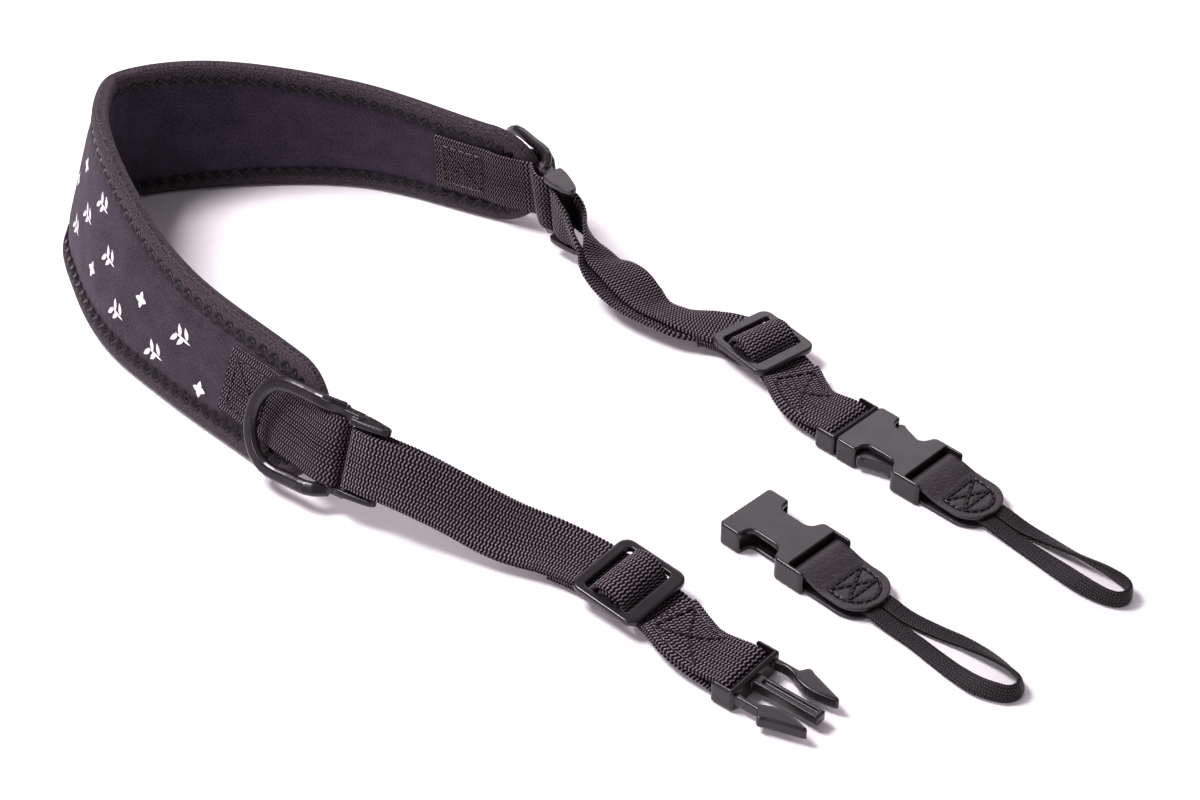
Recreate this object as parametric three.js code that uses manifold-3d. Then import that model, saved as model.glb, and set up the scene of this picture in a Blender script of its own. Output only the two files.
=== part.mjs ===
// A binocular neck strap lying on a table: a bound foam neck pad standing on its edge in a U,
// a webbing tab and a moulded ring at each end of it, two adjustable webbing straps with sliders,
// and two quick-release connectors, one clipped shut and one taken off and laid beside its strap.
// Millimetres, +Z up, the table at z = 0.
import * as THREE from 'three';
import { mergeVertices } from 'three/addons/utils/BufferGeometryUtils.js';
import Module from 'manifold-3d';

const wasm = await Module();
wasm.setup();

// ---- driving dimensions ----
const gap = 0.3; // clearance wherever two pieces touch
const tableLift = 0.05; // keeps curved undersides just above z = 0
const centreX = 18.24; // moves the laid-out strap so that its box is centred on the origin
const centreY = 6.97;

// foam: thickness of the foam; clear: between foam and binding; cover: thickness of the binding;
// margin: how far the binding reaches over each face; tip: length of each rounded end
// tipLeast and tipRise: how the foam thins out towards the very tip
const pad = {
  foam: 3.2, clear: 0.4, cover: 0.7, margin: 8, tip: 22, edgeRound: 0.9, tipLeast: 0.35, tipRise: 1.4,
};
const strap = { width: 20, thick: 1.4 };
const tab = { width: 23.6, thick: 1.4 };
const ring = {
  height: 35.6, reach: 33, curve: 13, depth: 3.4, rise: 4.2, barRadius: 2,
  webGap: 24.4, cheekThick: 2.2, wedgeAt: 9.2, wedgeEnd: 13.6, wedgeHalf: 2,
  // the back ring's binding and turned-over strap leave its arms less room
  arm: { front: 4.9, back: 4 }, cheekGap: { front: 22.4, back: 26 },
};
const slider = {
  length: 27, width: 27, window: 21.2, bar: 3, thick: 2.5, sideBar: 4, broadBar: 4.9, corner: 4,
  seat: 2.25, tail: 4, // height above the strap's middle line; the strap's raw end shows this far past it
};
const buckle = {
  width: 24, height: 8.7, maleHeight: 8.4, length: 36, wall: 0.9, floor: 1.8, mouth: 7.7, waist: 7,
  socket: 25, slotStart: 29, barX: 32.5, barRadius: 1.6, cheek: 7.1, maleBarX: 2.2, front: 8.4,
  slot: 21.6, clipped: -8.7,
};
const leather = { width: 21, thick: 1.2, end: 58.5, corner: 9.5 };
const braid = { width: 6, thick: 1.8, ease: 0.5 };

// layers of webbing lie one above another, this far apart between their middles
const layer = strap.thick + gap;
const barHeight = 4.35; // middle of the buckle bars above the table

// ---- neck pad: the line of its lower edge, front end first ----
// x, y: the lower edge on the table; lean: how far the top tips into the U, degrees; tall: height up the face
const padRows = [
  { x: -95, y: -33, lean: 24, tall: 43.6 },
  { x: -135, y: 7, lean: 20, tall: 48.6 },
  { x: -158, y: 34, lean: 19, tall: 57.8 },
  { x: -173, y: 65, lean: 15.5, tall: 66.6 },
  { x: -182, y: 98, lean: 17.2, tall: 68 },
  { x: -172.5, y: 125.2, lean: 13.8, tall: 64.6 },
  { x: -133.5, y: 138, lean: 4.5, tall: 58.2 },
  { x: -76.5, y: 139, lean: 4.6, tall: 48.6 },
  { x: -23.9, y: 117.2, lean: 6.2, tall: 43.6 },
];

// ---- the straps: the middle line of the webbing from ring to buckle ----
// x, y, z: the middle of the webbing; lean: from upright at 0 to lying face up at 90, degrees
const frontRows = [
  { x: -69.4, y: -46.5, z: 21.1, lean: 24.5 },
  { x: -60.8, y: -52.5, z: 21.3, lean: 24.5 },
  { x: -54.9, y: -56.4, z: 21.3, lean: 25.5 },
  { x: -46, y: -60.8, z: 20.2, lean: 33 },
  { x: -34, y: -65.5, z: 16.6, lean: 44 },
  { x: -14.5, y: -73.5, z: 10, lean: 60 },
  { x: 1.5, y: -79, z: 7.2, lean: 76 },
  { x: 14.3, y: -86.2, z: 5.7, lean: 84 },
  { x: 25.1, y: -96, z: 4.9, lean: 85 },
  { x: 35.7, y: -105.9, z: 4.1, lean: 86 },
  { x: 45.2, y: -120.9, z: 3, lean: 90 },
  { x: 58.2, y: -131.8, z: 2.65, lean: 90 },
];
const backRing = [
  { x: -3.3, y: 98.2, z: 21.4, lean: 6 },
  { x: 2.6, y: 89.8, z: 21.1, lean: 6 },
];
const backSlider = [
  { x: 55.5, y: 40.4, z: 5, lean: 83 },
  { x: 64.6, y: 36.4, z: 4.9, lean: 88 },
  { x: 72.8, y: 27, z: 4.7, lean: 89 },
  { x: 80.6, y: 16.6, z: 4.1, lean: 90 },
  { x: 87.4, y: -2.2, z: 3, lean: 90 },
  { x: 98.2, y: -12.9, z: 2.65, lean: 90 },
];
// the two layers of the back strap part company past the ring, turn over and lie down separately
const backInnerRows = [
  ...backRing,
  { x: 6.4, y: 83.4, z: 19.6, lean: 12 },
  { x: 10, y: 76.3, z: 15.6, lean: 30 },
  { x: 13.6, y: 70.4, z: 11.2, lean: 50 },
  { x: 19, y: 63.5, z: 8.6, lean: 66 },
  { x: 26, y: 56, z: 6.6, lean: 72 },
  { x: 33, y: 49.8, z: 5.4, lean: 70 },
  { x: 39.5, y: 45.3, z: 5, lean: 70 },
  { x: 46.5, y: 41.8, z: 5, lean: 76 },
  ...backSlider,
];
const backOuterRows = [
  ...backRing,
  { x: 9.2, y: 82.6, z: 15.9, lean: 31 },
  { x: 13.2, y: 77.9, z: 13.3, lean: 46 },
  { x: 16.8, y: 72.2, z: 10.9, lean: 61 },
  { x: 21.6, y: 67.3, z: 10.6, lean: 73 },
  { x: 26.3, y: 62, z: 9.3, lean: 79 },
  { x: 30.6, y: 57.1, z: 6.9, lean: 76 },
  { x: 35, y: 52.5, z: 4.6, lean: 69 },
  { x: 41.3, y: 48, z: 4.3, lean: 69 },
  { x: 47.6, y: 43.9, z: 4.7, lean: 75 },
  ...backSlider,
];

// the two layers of a strap between ring and slider: how far each stands off the middle line
// past: length along the strap from the ring's wedge; off: distance of each layer
const frontSpread = [
  { past: 5, off: 3.3 }, { past: 11, off: 2.8 }, { past: 22, off: 2.6 },
  { past: 36, off: 2.1 }, { past: 52, off: 1.3 }, { past: 66, off: 0.9 },
];
const backSpread = [
  { past: 5, off: 3.5 }, { past: 12, off: 2.6 }, { past: 19, off: 1.5 },
  { past: 27, off: 0.9 }, { past: 45, off: 0.85 }, { past: 66, off: 0.85 },
];

// where the tab's line follows the pad: lengths past the start of the pad's rounded end
const tabFollows = [-32, -19, -6, 7, 16, 21];

// ---- the connectors: where their mouths lie on the table and which way they point ----
const looseConnector = { x: 62.7, y: -59.8, yaw: -45.7 };
const backYaw = -44.7; // the other two follow the webbing in their bars
const frontYaw = -40;

// ---- the cord loops, in their connector's own frame: x along it, y across, z up ----
// turn: how far the flat braid has turned up on its edge, degrees
const looseLoopRows = [
  { x: 46, y: -3.2, z: 2.65, turn: 0 },
  { x: 58, y: -3.2, z: 2.5, turn: 0 },
  { x: 66, y: -3.1, z: 1.4, turn: 0 },
  { x: 75, y: -3.2, z: 1.2, turn: 2 },
  { x: 84, y: -4.2, z: 1.4, turn: 6 },
  { x: 93, y: -5.2, z: 1.9, turn: 16 },
  { x: 101, y: -5.4, z: 2.65, turn: 36 },
  { x: 107.2, y: -3.9, z: 3.2, turn: 60 },
  { x: 110.1, y: -2.2, z: 3.3, turn: 72 },
  { x: 111.3, y: 1, z: 3.3, turn: 78 },
  { x: 110.1, y: 4.2, z: 3.3, turn: 74 },
  { x: 107.2, y: 5.9, z: 3.2, turn: 62 },
  { x: 102, y: 7.1, z: 2.95, turn: 46 },
  { x: 95.5, y: 7.6, z: 2.5, turn: 30 },
  { x: 86, y: 7, z: 1.7, turn: 12 },
  { x: 76, y: 5, z: 1.3, turn: 4 },
  { x: 66, y: 3.5, z: 1.4, turn: 0 },
  { x: 58, y: 3.2, z: 2.5, turn: 0 },
  { x: 46, y: 3.2, z: 2.65, turn: 0 },
];
const backLoopRows = [
  { x: 46, y: -3.2, z: 2.65, turn: 0 },
  { x: 58, y: -3.3, z: 2.5, turn: 0 },
  { x: 68, y: -3.6, z: 1.4, turn: 2 },
  { x: 78, y: -4.6, z: 1.5, turn: 8 },
  { x: 88, y: -6, z: 2.25, turn: 24 },
  { x: 97, y: -7.2, z: 3, turn: 48 },
  { x: 102, y: -7.4, z: 3.2, turn: 64 },
  { x: 107.8, y: -6.7, z: 3.35, turn: 80 },
  { x: 110.7, y: -5.1, z: 3.35, turn: 84 },
  { x: 111.8, y: -2, z: 3.35, turn: 86 },
  { x: 110.7, y: 1.1, z: 3.35, turn: 84 },
  { x: 107.8, y: 2.7, z: 3.35, turn: 80 },
  { x: 101, y: 3.4, z: 3.3, turn: 70 },
  { x: 92, y: 3.1, z: 3.05, turn: 50 },
  { x: 80, y: 2.9, z: 2.25, turn: 24 },
  { x: 68, y: 3, z: 1.4, turn: 4 },
  { x: 58, y: 3.2, z: 2.5, turn: 0 },
  { x: 46, y: 3.2, z: 2.65, turn: 0 },
];

// ---- materials ----
const finish = (color, roughness) => new THREE.MeshStandardMaterial({ color, roughness, metalness: 0 });
const padCloth = finish(0x4c4650, 0.9);
const bindingKnit = finish(0x2f2d30, 0.85);
const tabWebbing = finish(0x2b292d, 0.85);
const strapWebbing = finish(0x333136, 0.8);
const acetal = finish(0x38343a, 0.4);
const blackLeather = finish(0x2a2829, 0.6);
const blackBraid = finish(0x1d1c1f, 0.8);

// ---- small geometry tools ----
const radians = (degrees) => THREE.MathUtils.degToRad(degrees);
const up = new THREE.Vector3(0, 0, 1);

// a closed skin over rings of points: endless runs back to the first ring, otherwise both ends are filled
function skin(rings, endless = false) {
  const around = rings[0].length;
  const positions = rings.flat().flatMap((point) => [point.x, point.y, point.z]);
  const faces = [];
  const bands = endless ? rings.length : rings.length - 1;
  for (let i = 0; i < bands; i += 1) {
    const here = i * around;
    const next = ((i + 1) % rings.length) * around;
    for (let k = 0; k < around; k += 1) {
      const m = (k + 1) % around;
      faces.push(here + k, here + m, next + m, here + k, next + m, next + k);
    }
  }
  if (!endless) {
    const far = (rings.length - 1) * around;
    for (let k = 1; k < around - 1; k += 1) {
      faces.push(0, k + 1, k, far, far + k, far + k + 1);
    }
  }
  const geometry = new THREE.BufferGeometry();
  geometry.setAttribute('position', new THREE.Float32BufferAttribute(positions, 3));
  geometry.setIndex(faces);
  return outward(geometry);
}

// turns every face round where a skin came out inside out
function outward(geometry) {
  const place = geometry.getAttribute('position');
  const index = geometry.getIndex().array;
  const [a, b, c] = [new THREE.Vector3(), new THREE.Vector3(), new THREE.Vector3()];
  let volume = 0;
  for (let i = 0; i < index.length; i += 3) {
    a.fromBufferAttribute(place, index[i]);
    b.fromBufferAttribute(place, index[i + 1]);
    c.fromBufferAttribute(place, index[i + 2]);
    volume += a.dot(b.cross(c));
  }
  if (volume < 0) index.reverse();
  return geometry;
}

function toSolid(geometry) {
  const bare = geometry.clone();
  bare.deleteAttribute('normal');
  bare.deleteAttribute('uv');
  const merged = mergeVertices(bare, 1e-4);
  return new wasm.Manifold(new wasm.Mesh({
    numProp: 3,
    vertProperties: new Float32Array(merged.getAttribute('position').array),
    triVerts: new Uint32Array(merged.getIndex().array),
  }));
}

function toGeometry(solid) {
  const mesh = solid.getMesh();
  const geometry = new THREE.BufferGeometry();
  geometry.setAttribute('position', new THREE.Float32BufferAttribute(mesh.vertProperties, 3));
  geometry.setIndex(Array.from(mesh.triVerts));
  return geometry;
}

// joins the first list of geometries and cuts the second list away
function carve(joined, cut = []) {
  const whole = joined.map(toSolid).reduce((sum, solid) => sum.add(solid));
  return toGeometry(cut.map(toSolid).reduce((rest, solid) => rest.subtract(solid), whole));
}

const block = (x0, x1, y0, y1, z0, z1) => new THREE.BoxGeometry(x1 - x0, y1 - y0, z1 - z0)
  .translate((x0 + x1) / 2, (y0 + y1) / 2, (z0 + z1) / 2);

// a round bar across a part, along y
const crossBar = (x, z, radius, width) => new THREE.CylinderGeometry(radius, radius, width, 16)
  .translate(x, 0, z);

// a flat outline in x and y made into a plate from z0 to z1, its edges eased by a small bevel
function plate(outline, z0, z1, bevel = 0.5) {
  return new THREE.ExtrudeGeometry(outline, {
    depth: z1 - z0 - 2 * bevel, bevelEnabled: bevel > 0, bevelThickness: bevel, bevelSize: bevel,
    bevelOffset: -bevel, bevelSegments: 1, curveSegments: 4,
  }).translate(0, 0, z0 + bevel);
}

function addMesh(parent, name, geometry, material) {
  const mesh = new THREE.Mesh(geometry, material.clone());
  mesh.name = name;
  parent.add(mesh);
  return mesh;
}

// ---- a line through rows of named columns, known by its length along it ----
const lineSteps = 24; // samples between two rows

class Line {
  constructor(rows, columns) {
    this.columns = columns;
    const before = (near, far) => columns.map((column) => 2 * near[column] - far[column]);
    const points = rows.map((row) => columns.map((column) => row[column]));
    const last = rows.length - 1;
    points.unshift(before(rows[0], rows[1]));
    points.push(before(rows[last], rows[last - 1]));
    this.points = points;
    const steps = lineSteps;
    this.samples = [{ length: 0, knot: 1 }];
    let previous = this.pointAt(1);
    for (let i = 1; i <= last * steps; i += 1) {
      const knot = 1 + i / steps;
      const point = this.pointAt(knot);
      const along = Math.hypot(point[0] - previous[0], point[1] - previous[1], this.rise(point, previous));
      this.samples.push({ length: this.samples[i - 1].length + along, knot });
      previous = point;
    }
    this.length = this.samples[this.samples.length - 1].length;
  }

  rise(point, previous) {
    return this.columns[2] === 'z' ? point[2] - previous[2] : 0;
  }

  // the smooth curve through the points, at point number "knot"
  pointAt(knot) {
    const i = Math.min(Math.floor(knot), this.points.length - 3);
    const t = knot - i;
    const [p0, p1, p2, p3] = this.points.slice(i - 1, i + 3);
    const reach = (a, b) => Math.sqrt(Math.hypot(b[0] - a[0], b[1] - a[1]));
    const [d0, d1, d2] = [reach(p0, p1), reach(p1, p2), reach(p2, p3)];
    return p1.map((value, k) => {
      const m1 = d1 * ((value - p0[k]) / d0 - (p2[k] - p0[k]) / (d0 + d1) + (p2[k] - value) / d1);
      const m2 = d1 * ((p2[k] - value) / d1 - (p3[k] - value) / (d1 + d2) + (p3[k] - p2[k]) / d2);
      const rest = 2 * value - 2 * p2[k] + m1 + m2;
      return value + m1 * t + (3 * p2[k] - 3 * value - 2 * m1 - m2) * t * t + rest * t * t * t;
    });
  }

  // column values at a length along the line, which runs on straight past either end
  at(length) {
    const inside = THREE.MathUtils.clamp(length, 0, this.length);
    let i = this.samples.findIndex((sample) => sample.length >= inside);
    i = Math.max(i, 1);
    const [from, to] = [this.samples[i - 1], this.samples[i]];
    const share = (inside - from.length) / (to.length - from.length);
    const knot = THREE.MathUtils.lerp(from.knot, to.knot, share);
    const point = this.pointAt(knot);
    const ahead = this.pointAt(Math.min(knot + 0.01, this.points.length - 2));
    const behind = this.pointAt(Math.max(knot - 0.01, 1));
    const flat = this.columns[2] !== 'z';
    const climb = flat ? 0 : ahead[2] - behind[2];
    const way = new THREE.Vector3(ahead[0] - behind[0], ahead[1] - behind[1], climb).normalize();
    const extra = length - inside;
    const place = new THREE.Vector3(point[0], point[1], flat ? 0 : point[2]).addScaledVector(way, extra);
    return { place, way, values: Object.fromEntries(this.columns.map((column, k) => [column, point[k]])) };
  }

  // length along the line of its row number "row"
  lengthAtRow(row) {
    return this.samples[row * lineSteps].length;
  }
}

// the frame of a leaning band: along it, across it up its face, and out of its face
function leaningFrame(way, lean, side) {
  const out = new THREE.Vector3(-way.y, way.x, 0).normalize().multiplyScalar(side);
  const face = out.multiplyScalar(Math.cos(radians(lean))).addScaledVector(up, Math.sin(radians(lean)));
  face.addScaledVector(way, -face.dot(way)).normalize();
  const across = new THREE.Vector3().crossVectors(way, face).multiplyScalar(side);
  return { face, across };
}

// ---- the pad's own coordinates: s along it, h up its face from the table, q out of its face ----
const padLine = new Line(padRows, ['x', 'y', 'lean', 'tall']);

function padPoint(s, h, q) {
  const { place, way, values } = padLine.at(s);
  const { face, across } = leaningFrame(way, values.lean, 1);
  const lift = tableLift + (pad.foam / 2) * Math.sin(radians(values.lean));
  return place.addScaledVector(across, h).addScaledVector(face, q).addScaledVector(up, lift);
}

// stations along the pad as pairs: length along it, and how much of the full height is left there
function padStations(reach, count) {
  const stations = [];
  const tipSteps = 7;
  const firstTurn = 10;
  for (let i = 0; i <= tipSteps; i += 1) {
    const angle = radians(firstTurn + ((90 - firstTurn) * i) / tipSteps);
    stations.push([-reach * Math.cos(angle), Math.sin(angle)]);
  }
  const back = stations.map(([s, share]) => [padLine.length - s, share]).reverse();
  for (let i = 1; i < count; i += 1) {
    stations.push([(i / count) * padLine.length, 1]);
  }
  return [...stations, ...back];
}

// ---- neck pad ----
function neckPad() {
  const inset = pad.cover + 2 * gap;
  const round = pad.edgeRound;
  const rings = padStations(pad.tip - inset, 34).map(([s, share]) => {
    const tall = padLine.at(s).values.tall;
    const spread = (tall / 2 - inset) * share;
    const half = (pad.foam / 2) * THREE.MathUtils.clamp(pad.tipLeast + share * pad.tipRise, 0, 1);
    const flat = [-spread + round, -spread * 0.62, 0, spread * 0.62, spread - round];
    const section = [
      [-spread, -half + round], ...flat.map((h) => [h, -half]), [spread, -half + round],
      [spread, half - round], ...flat.reverse().map((h) => [h, half]), [-spread, half - round],
    ];
    return section.map(([h, q]) => padPoint(s, tall / 2 + h, q));
  });
  return skin(rings);
}

// ---- edge binding: a folded tape all round the rim, gripping both faces ----
function padOutline(steps, tipSteps) {
  const outline = [];
  const edge = (s, sign) => {
    const tall = padLine.at(s).values.tall;
    outline.push({ s, h: tall / 2 + sign * (tall / 2), inward: new THREE.Vector2(0, -sign) });
  };
  const tipTurn = (s, direction) => {
    const tall = padLine.at(s).values.tall;
    for (let i = 0; i <= tipSteps; i += 1) {
      const angle = (i / tipSteps) * Math.PI;
      const inward = new THREE.Vector2(-direction * Math.sin(angle), direction * Math.cos(angle));
      outline.push({ s: s - inward.x * pad.tip, h: tall / 2 - inward.y * (tall / 2), inward });
    }
  };
  for (let i = 1; i < steps; i += 1) edge((i / steps) * padLine.length, -1);
  tipTurn(padLine.length, 1);
  for (let i = steps - 1; i > 0; i -= 1) edge((i / steps) * padLine.length, 1);
  tipTurn(0, -1);
  return outline;
}

function edgeBinding() {
  const inner = pad.foam / 2 + pad.clear;
  const outer = inner + pad.cover;
  const round = 1;
  const section = [
    [pad.margin, outer], [round, outer], [0, outer - round], [0, -outer + round],
    [round, -outer], [pad.margin, -outer], [pad.margin, -inner], [pad.cover + round, -inner],
    [pad.cover, -inner + round], [pad.cover, inner - round], [pad.cover + round, inner], [pad.margin, inner],
  ];
  const rings = padOutline(34, 12).map(({ s, h, inward }) => section.map(
    ([depth, q]) => padPoint(s + inward.x * depth, h + inward.y * depth, q),
  ));
  return skin(rings, true);
}

// ---- webbing: routes are drawn in s along the strap and q out of its face ----
class Band {
  constructor(rows, side) {
    this.line = new Line(rows, ['x', 'y', 'z', 'lean']);
    this.rowCount = rows.length;
    this.side = side;
  }

  frameAt(s) {
    const { place, way, values } = this.line.at(s);
    return { place, way, ...leaningFrame(way, values.lean, this.side) };
  }

  point(s, q, w) {
    const { place, face, across } = this.frameAt(s);
    return place.addScaledVector(face, q).addScaledVector(across, w);
  }

  // the slider sits three rows before the buckle's bar
  lengthAtSlider() {
    return this.line.lengthAtRow(this.rowCount - 4);
  }

  // places a rigid part whose x runs along the strap and z out of its face
  placement(s, q = 0) {
    const { place, way, face } = this.frameAt(s);
    const across = new THREE.Vector3().crossVectors(face, way);
    const matrix = new THREE.Matrix4().makeBasis(way, across, face);
    return matrix.setPosition(place.addScaledVector(face, q));
  }
}

// a smooth curve through points given in two directions
const flatCurve = (route) => new THREE.CatmullRomCurve3(
  route.map(([a, b]) => new THREE.Vector3(a, b, 0)), false, 'centripetal',
);

// a woven band along stretches of route; each stretch follows its own line of rows
function webbing(stretches, { width, thick }, step = 1.6) {
  const points = stretches.flatMap(({ band, route }) => {
    const curve = flatCurve(route);
    const count = Math.round(curve.getLength() / step);
    return curve.getSpacedPoints(count).map((spot) => ({ band, spot }));
  });
  const kept = points.filter(({ spot }, i) => i === 0 || spot.distanceTo(points[i - 1].spot) > 0.2);
  const rings = kept.map(({ band, spot }, i) => {
    const before = kept[Math.max(i - 1, 0)].spot;
    const after = kept[Math.min(i + 1, kept.length - 1)].spot;
    const along = after.clone().sub(before).normalize();
    const normal = new THREE.Vector2(-along.y, along.x).multiplyScalar(thick / 2);
    return [[1, -1], [1, 1], [-1, 1], [-1, -1]].map(([side, edge]) => band.point(
      spot.x + normal.x * side, spot.y + normal.y * side, (edge * width) / 2,
    ));
  });
  return skin(rings);
}

// a route round a bar seen from its end: an arc about (s, q) between two angles in degrees
function aroundBar(s, q, radius, from, to, tallness = 1) {
  const count = 6;
  return Array.from({ length: count + 1 }, (_, i) => {
    const angle = radians(from + ((to - from) * i) / count);
    return [s + radius * Math.cos(angle), q + radius * tallness * Math.sin(angle)];
  });
}

// ---- webbing tab: along the pad's outer face, round the ring's middle bar, back along the inner face ----
function tabRoute(tip, bar) {
  const onFoam = pad.foam / 2 + pad.clear + tab.thick / 2;
  const onBinding = onFoam + pad.cover + 1.5 * gap;
  const turn = ring.barRadius + 2 * gap + tab.thick / 2;
  const climb = tip - 2 * pad.margin;
  return [
    [tip - 47.5, onFoam], [tip - 34, onFoam], [climb - 8, onFoam], [climb - 1, onBinding],
    [tip - 8, onBinding], [tip - 0.5, onBinding + 0.5],
    ...aroundBar(bar, 0, turn, 85, -85),
    [tip - 1, -onBinding], [tip - 8, -onBinding], [climb - 1, -onBinding], [climb - 8, -onFoam],
    [tip - 32, -onFoam], [tip - 43.5, -onFoam],
  ];
}

// ---- ring: a D-shaped loop, a middle bar for the tab, and a wedge between cheeks for the strap ----
function moulding(end) {
  const [armWide, cheekGap] = [ring.arm[end], ring.cheekGap[end]];
  const armY = (ring.height - armWide) / 2;
  const straightEnd = ring.curve - ring.reach;
  // place along, height and how far in from the straight part of the arm
  const arm = [[0.5, 0.4, 1.4], [-4.5, ring.rise, 0.3], [-14, ring.rise, 0]];
  const path = arm.map(([x, z, inward]) => new THREE.Vector3(x, armY - inward, z));
  for (let i = 0; i <= 10; i += 1) {
    const angle = (i / 10) * Math.PI;
    path.push(new THREE.Vector3(
      straightEnd - ring.curve * Math.sin(angle), armY * Math.cos(angle), ring.rise,
    ));
  }
  arm.reverse().forEach(([x, z, inward]) => path.push(new THREE.Vector3(x, inward - armY, z)));
  const curve = new THREE.CatmullRomCurve3(path, false, 'centripetal');
  const steps = 34;
  const rings = Array.from({ length: steps + 1 }, (_, i) => {
    const along = curve.getPointAt(i / steps);
    const way = curve.getTangentAt(i / steps);
    const sideways = new THREE.Vector3().crossVectors(up, way).normalize();
    const high = new THREE.Vector3().crossVectors(way, sideways);
    const [a, b, ease] = [armWide / 2, ring.depth / 2, 1];
    const section = [[a, b - ease], [a - ease, b], [ease - a, b], [-a, b - ease],
      [-a, ease - b], [ease - a, -b], [a - ease, -b], [a, ease - b]];
    return section.map(([y, z]) => along.clone().addScaledVector(sideways, y).addScaledVector(high, z));
  });
  const loop = skin(rings);

  const cheekOutline = new THREE.Shape();
  cheekOutline.moveTo(4.6, 2.6);
  cheekOutline.quadraticCurveTo(4.6, 4.1, 6.5, 4);
  cheekOutline.quadraticCurveTo(11, 3.9, 17.4, 2);
  cheekOutline.quadraticCurveTo(19.4, 1, 19.2, -0.6);
  cheekOutline.quadraticCurveTo(18.8, -2, 16, -2.6);
  cheekOutline.quadraticCurveTo(10, -4.3, 6.5, -4.3);
  cheekOutline.quadraticCurveTo(4.6, -4.3, 4.6, -2.6);
  const cheek = (y) => new THREE.ExtrudeGeometry(cheekOutline, {
    depth: ring.cheekThick, bevelEnabled: false, curveSegments: 4,
  }).rotateX(Math.PI / 2).translate(0, y + ring.cheekThick, 0);

  // webs past the wider tab join the arms to the cheeks, which guide the narrower strap
  const webThick = 2.4;
  const web = (y) => block(-1.8, 7.6, y, y + webThick, -1.9, 2.2);

  const wedgeOutline = new THREE.Shape();
  wedgeOutline.absarc(ring.wedgeAt, 0, ring.barRadius, Math.PI * 0.5, Math.PI * 1.5, false);
  wedgeOutline.lineTo(ring.wedgeEnd, -ring.wedgeHalf);
  wedgeOutline.lineTo(ring.wedgeEnd, ring.wedgeHalf);
  const inside = cheekGap / 2 + 0.5;
  const wedge = new THREE.ExtrudeGeometry(wedgeOutline, {
    depth: 2 * inside, bevelEnabled: false, curveSegments: 8,
  }).rotateX(Math.PI / 2).translate(0, inside, 0);
  const middleBar = crossBar(0, 0, ring.barRadius, ring.height - armWide);
  return carve([
    loop, middleBar, wedge, cheek(cheekGap / 2), cheek(-cheekGap / 2 - ring.cheekThick),
    web(ring.webGap / 2), web(-ring.webGap / 2 - webThick),
  ]);
}

// ---- slider: a flat frame with three bars, through which the webbing is threaded ----
const roundedRectangle = (x0, x1, y0, y1, r) => {
  const shape = new THREE.Shape();
  shape.moveTo(x0 + r, y0);
  shape.lineTo(x1 - r, y0);
  shape.absarc(x1 - r, y0 + r, r, -Math.PI / 2, 0, false);
  shape.lineTo(x1, y1 - r);
  shape.absarc(x1 - r, y1 - r, r, 0, Math.PI / 2, false);
  shape.lineTo(x0 + r, y1);
  shape.absarc(x0 + r, y1 - r, r, Math.PI / 2, Math.PI, false);
  shape.lineTo(x0, y0 + r);
  shape.absarc(x0 + r, y0 + r, r, Math.PI, Math.PI * 1.5, false);
  return shape;
};

function threeBarSlider() {
  const [endX, endY] = [slider.length / 2, slider.width / 2];
  const frame = plate(roundedRectangle(-endX, endX, -endY, endY, slider.corner), 0, slider.thick);
  const half = slider.window / 2;
  const window = (x0, x1) => plate(roundedRectangle(x0, x1, -half, half, 1.4), -1, slider.thick + 1, 0);
  return carve(
    [frame],
    [window(-endX + slider.sideBar, -slider.bar / 2), window(slider.bar / 2, endX - slider.broadBar)],
  );
}

// ---- female connector half: an open-ended socket with cut-away sides and a bar behind a slot ----
function socketHalf() {
  const half = buckle.width / 2;
  const side = new THREE.Path();
  side.moveTo(0, half - 1);
  side.lineTo(1, half);
  side.lineTo(buckle.mouth, half);
  side.quadraticCurveTo(9, half, 9, half - 2);
  side.quadraticCurveTo(9, buckle.waist, 12, buckle.waist);
  side.lineTo(18.5, buckle.waist);
  side.quadraticCurveTo(21.8, buckle.waist, 22.6, 9.4);
  side.quadraticCurveTo(23.4, half, 25.2, half);
  side.lineTo(34.2, half);
  side.quadraticCurveTo(buckle.length, half, buckle.length, half - 2);
  const left = side.getPoints(4);
  const right = left.map((point) => new THREE.Vector2(point.x, -point.y)).reverse();
  const body = plate(new THREE.Shape([...left, ...right]), 0, buckle.height, 0.5);
  const inner = half - buckle.wall;
  const slot = buckle.slot / 2;
  const hollow = block(-1, buckle.socket, -inner, inner, buckle.floor, buckle.height - buckle.floor);
  const rearSlot = block(buckle.slotStart, buckle.length + 1, -slot, slot, -1, buckle.height + 1);
  const emptied = carve([body], [hollow, rearSlot]);
  const bar = crossBar(buckle.barX, barHeight, buckle.barRadius, buckle.width - 1);
  return carve([emptied, bar]);
}

// ---- male connector half: a slotted base, a middle guide and two springy prongs ----
function prongOutline(side, squeeze) {
  const shape = new THREE.Shape();
  const to = (x, y) => [x, side * (y - squeeze * THREE.MathUtils.smoothstep(x, 8, 20))];
  shape.moveTo(...to(7.8, 10.7));
  shape.lineTo(...to(16.6, 10.7));
  shape.lineTo(...to(18, 12.9));
  shape.quadraticCurveTo(...to(19, 14), ...to(20.8, 12.6));
  shape.lineTo(...to(32.4, 8.8));
  shape.quadraticCurveTo(...to(33.8, 8), ...to(32.2, 7.2));
  shape.quadraticCurveTo(...to(25, 5.4), ...to(21.5, 6));
  shape.quadraticCurveTo(...to(18.6, 6.6), ...to(16.4, 8));
  shape.quadraticCurveTo(...to(13.5, 9.4), ...to(11, 9));
  shape.lineTo(...to(7.8, 8.4));
  return shape;
}

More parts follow.
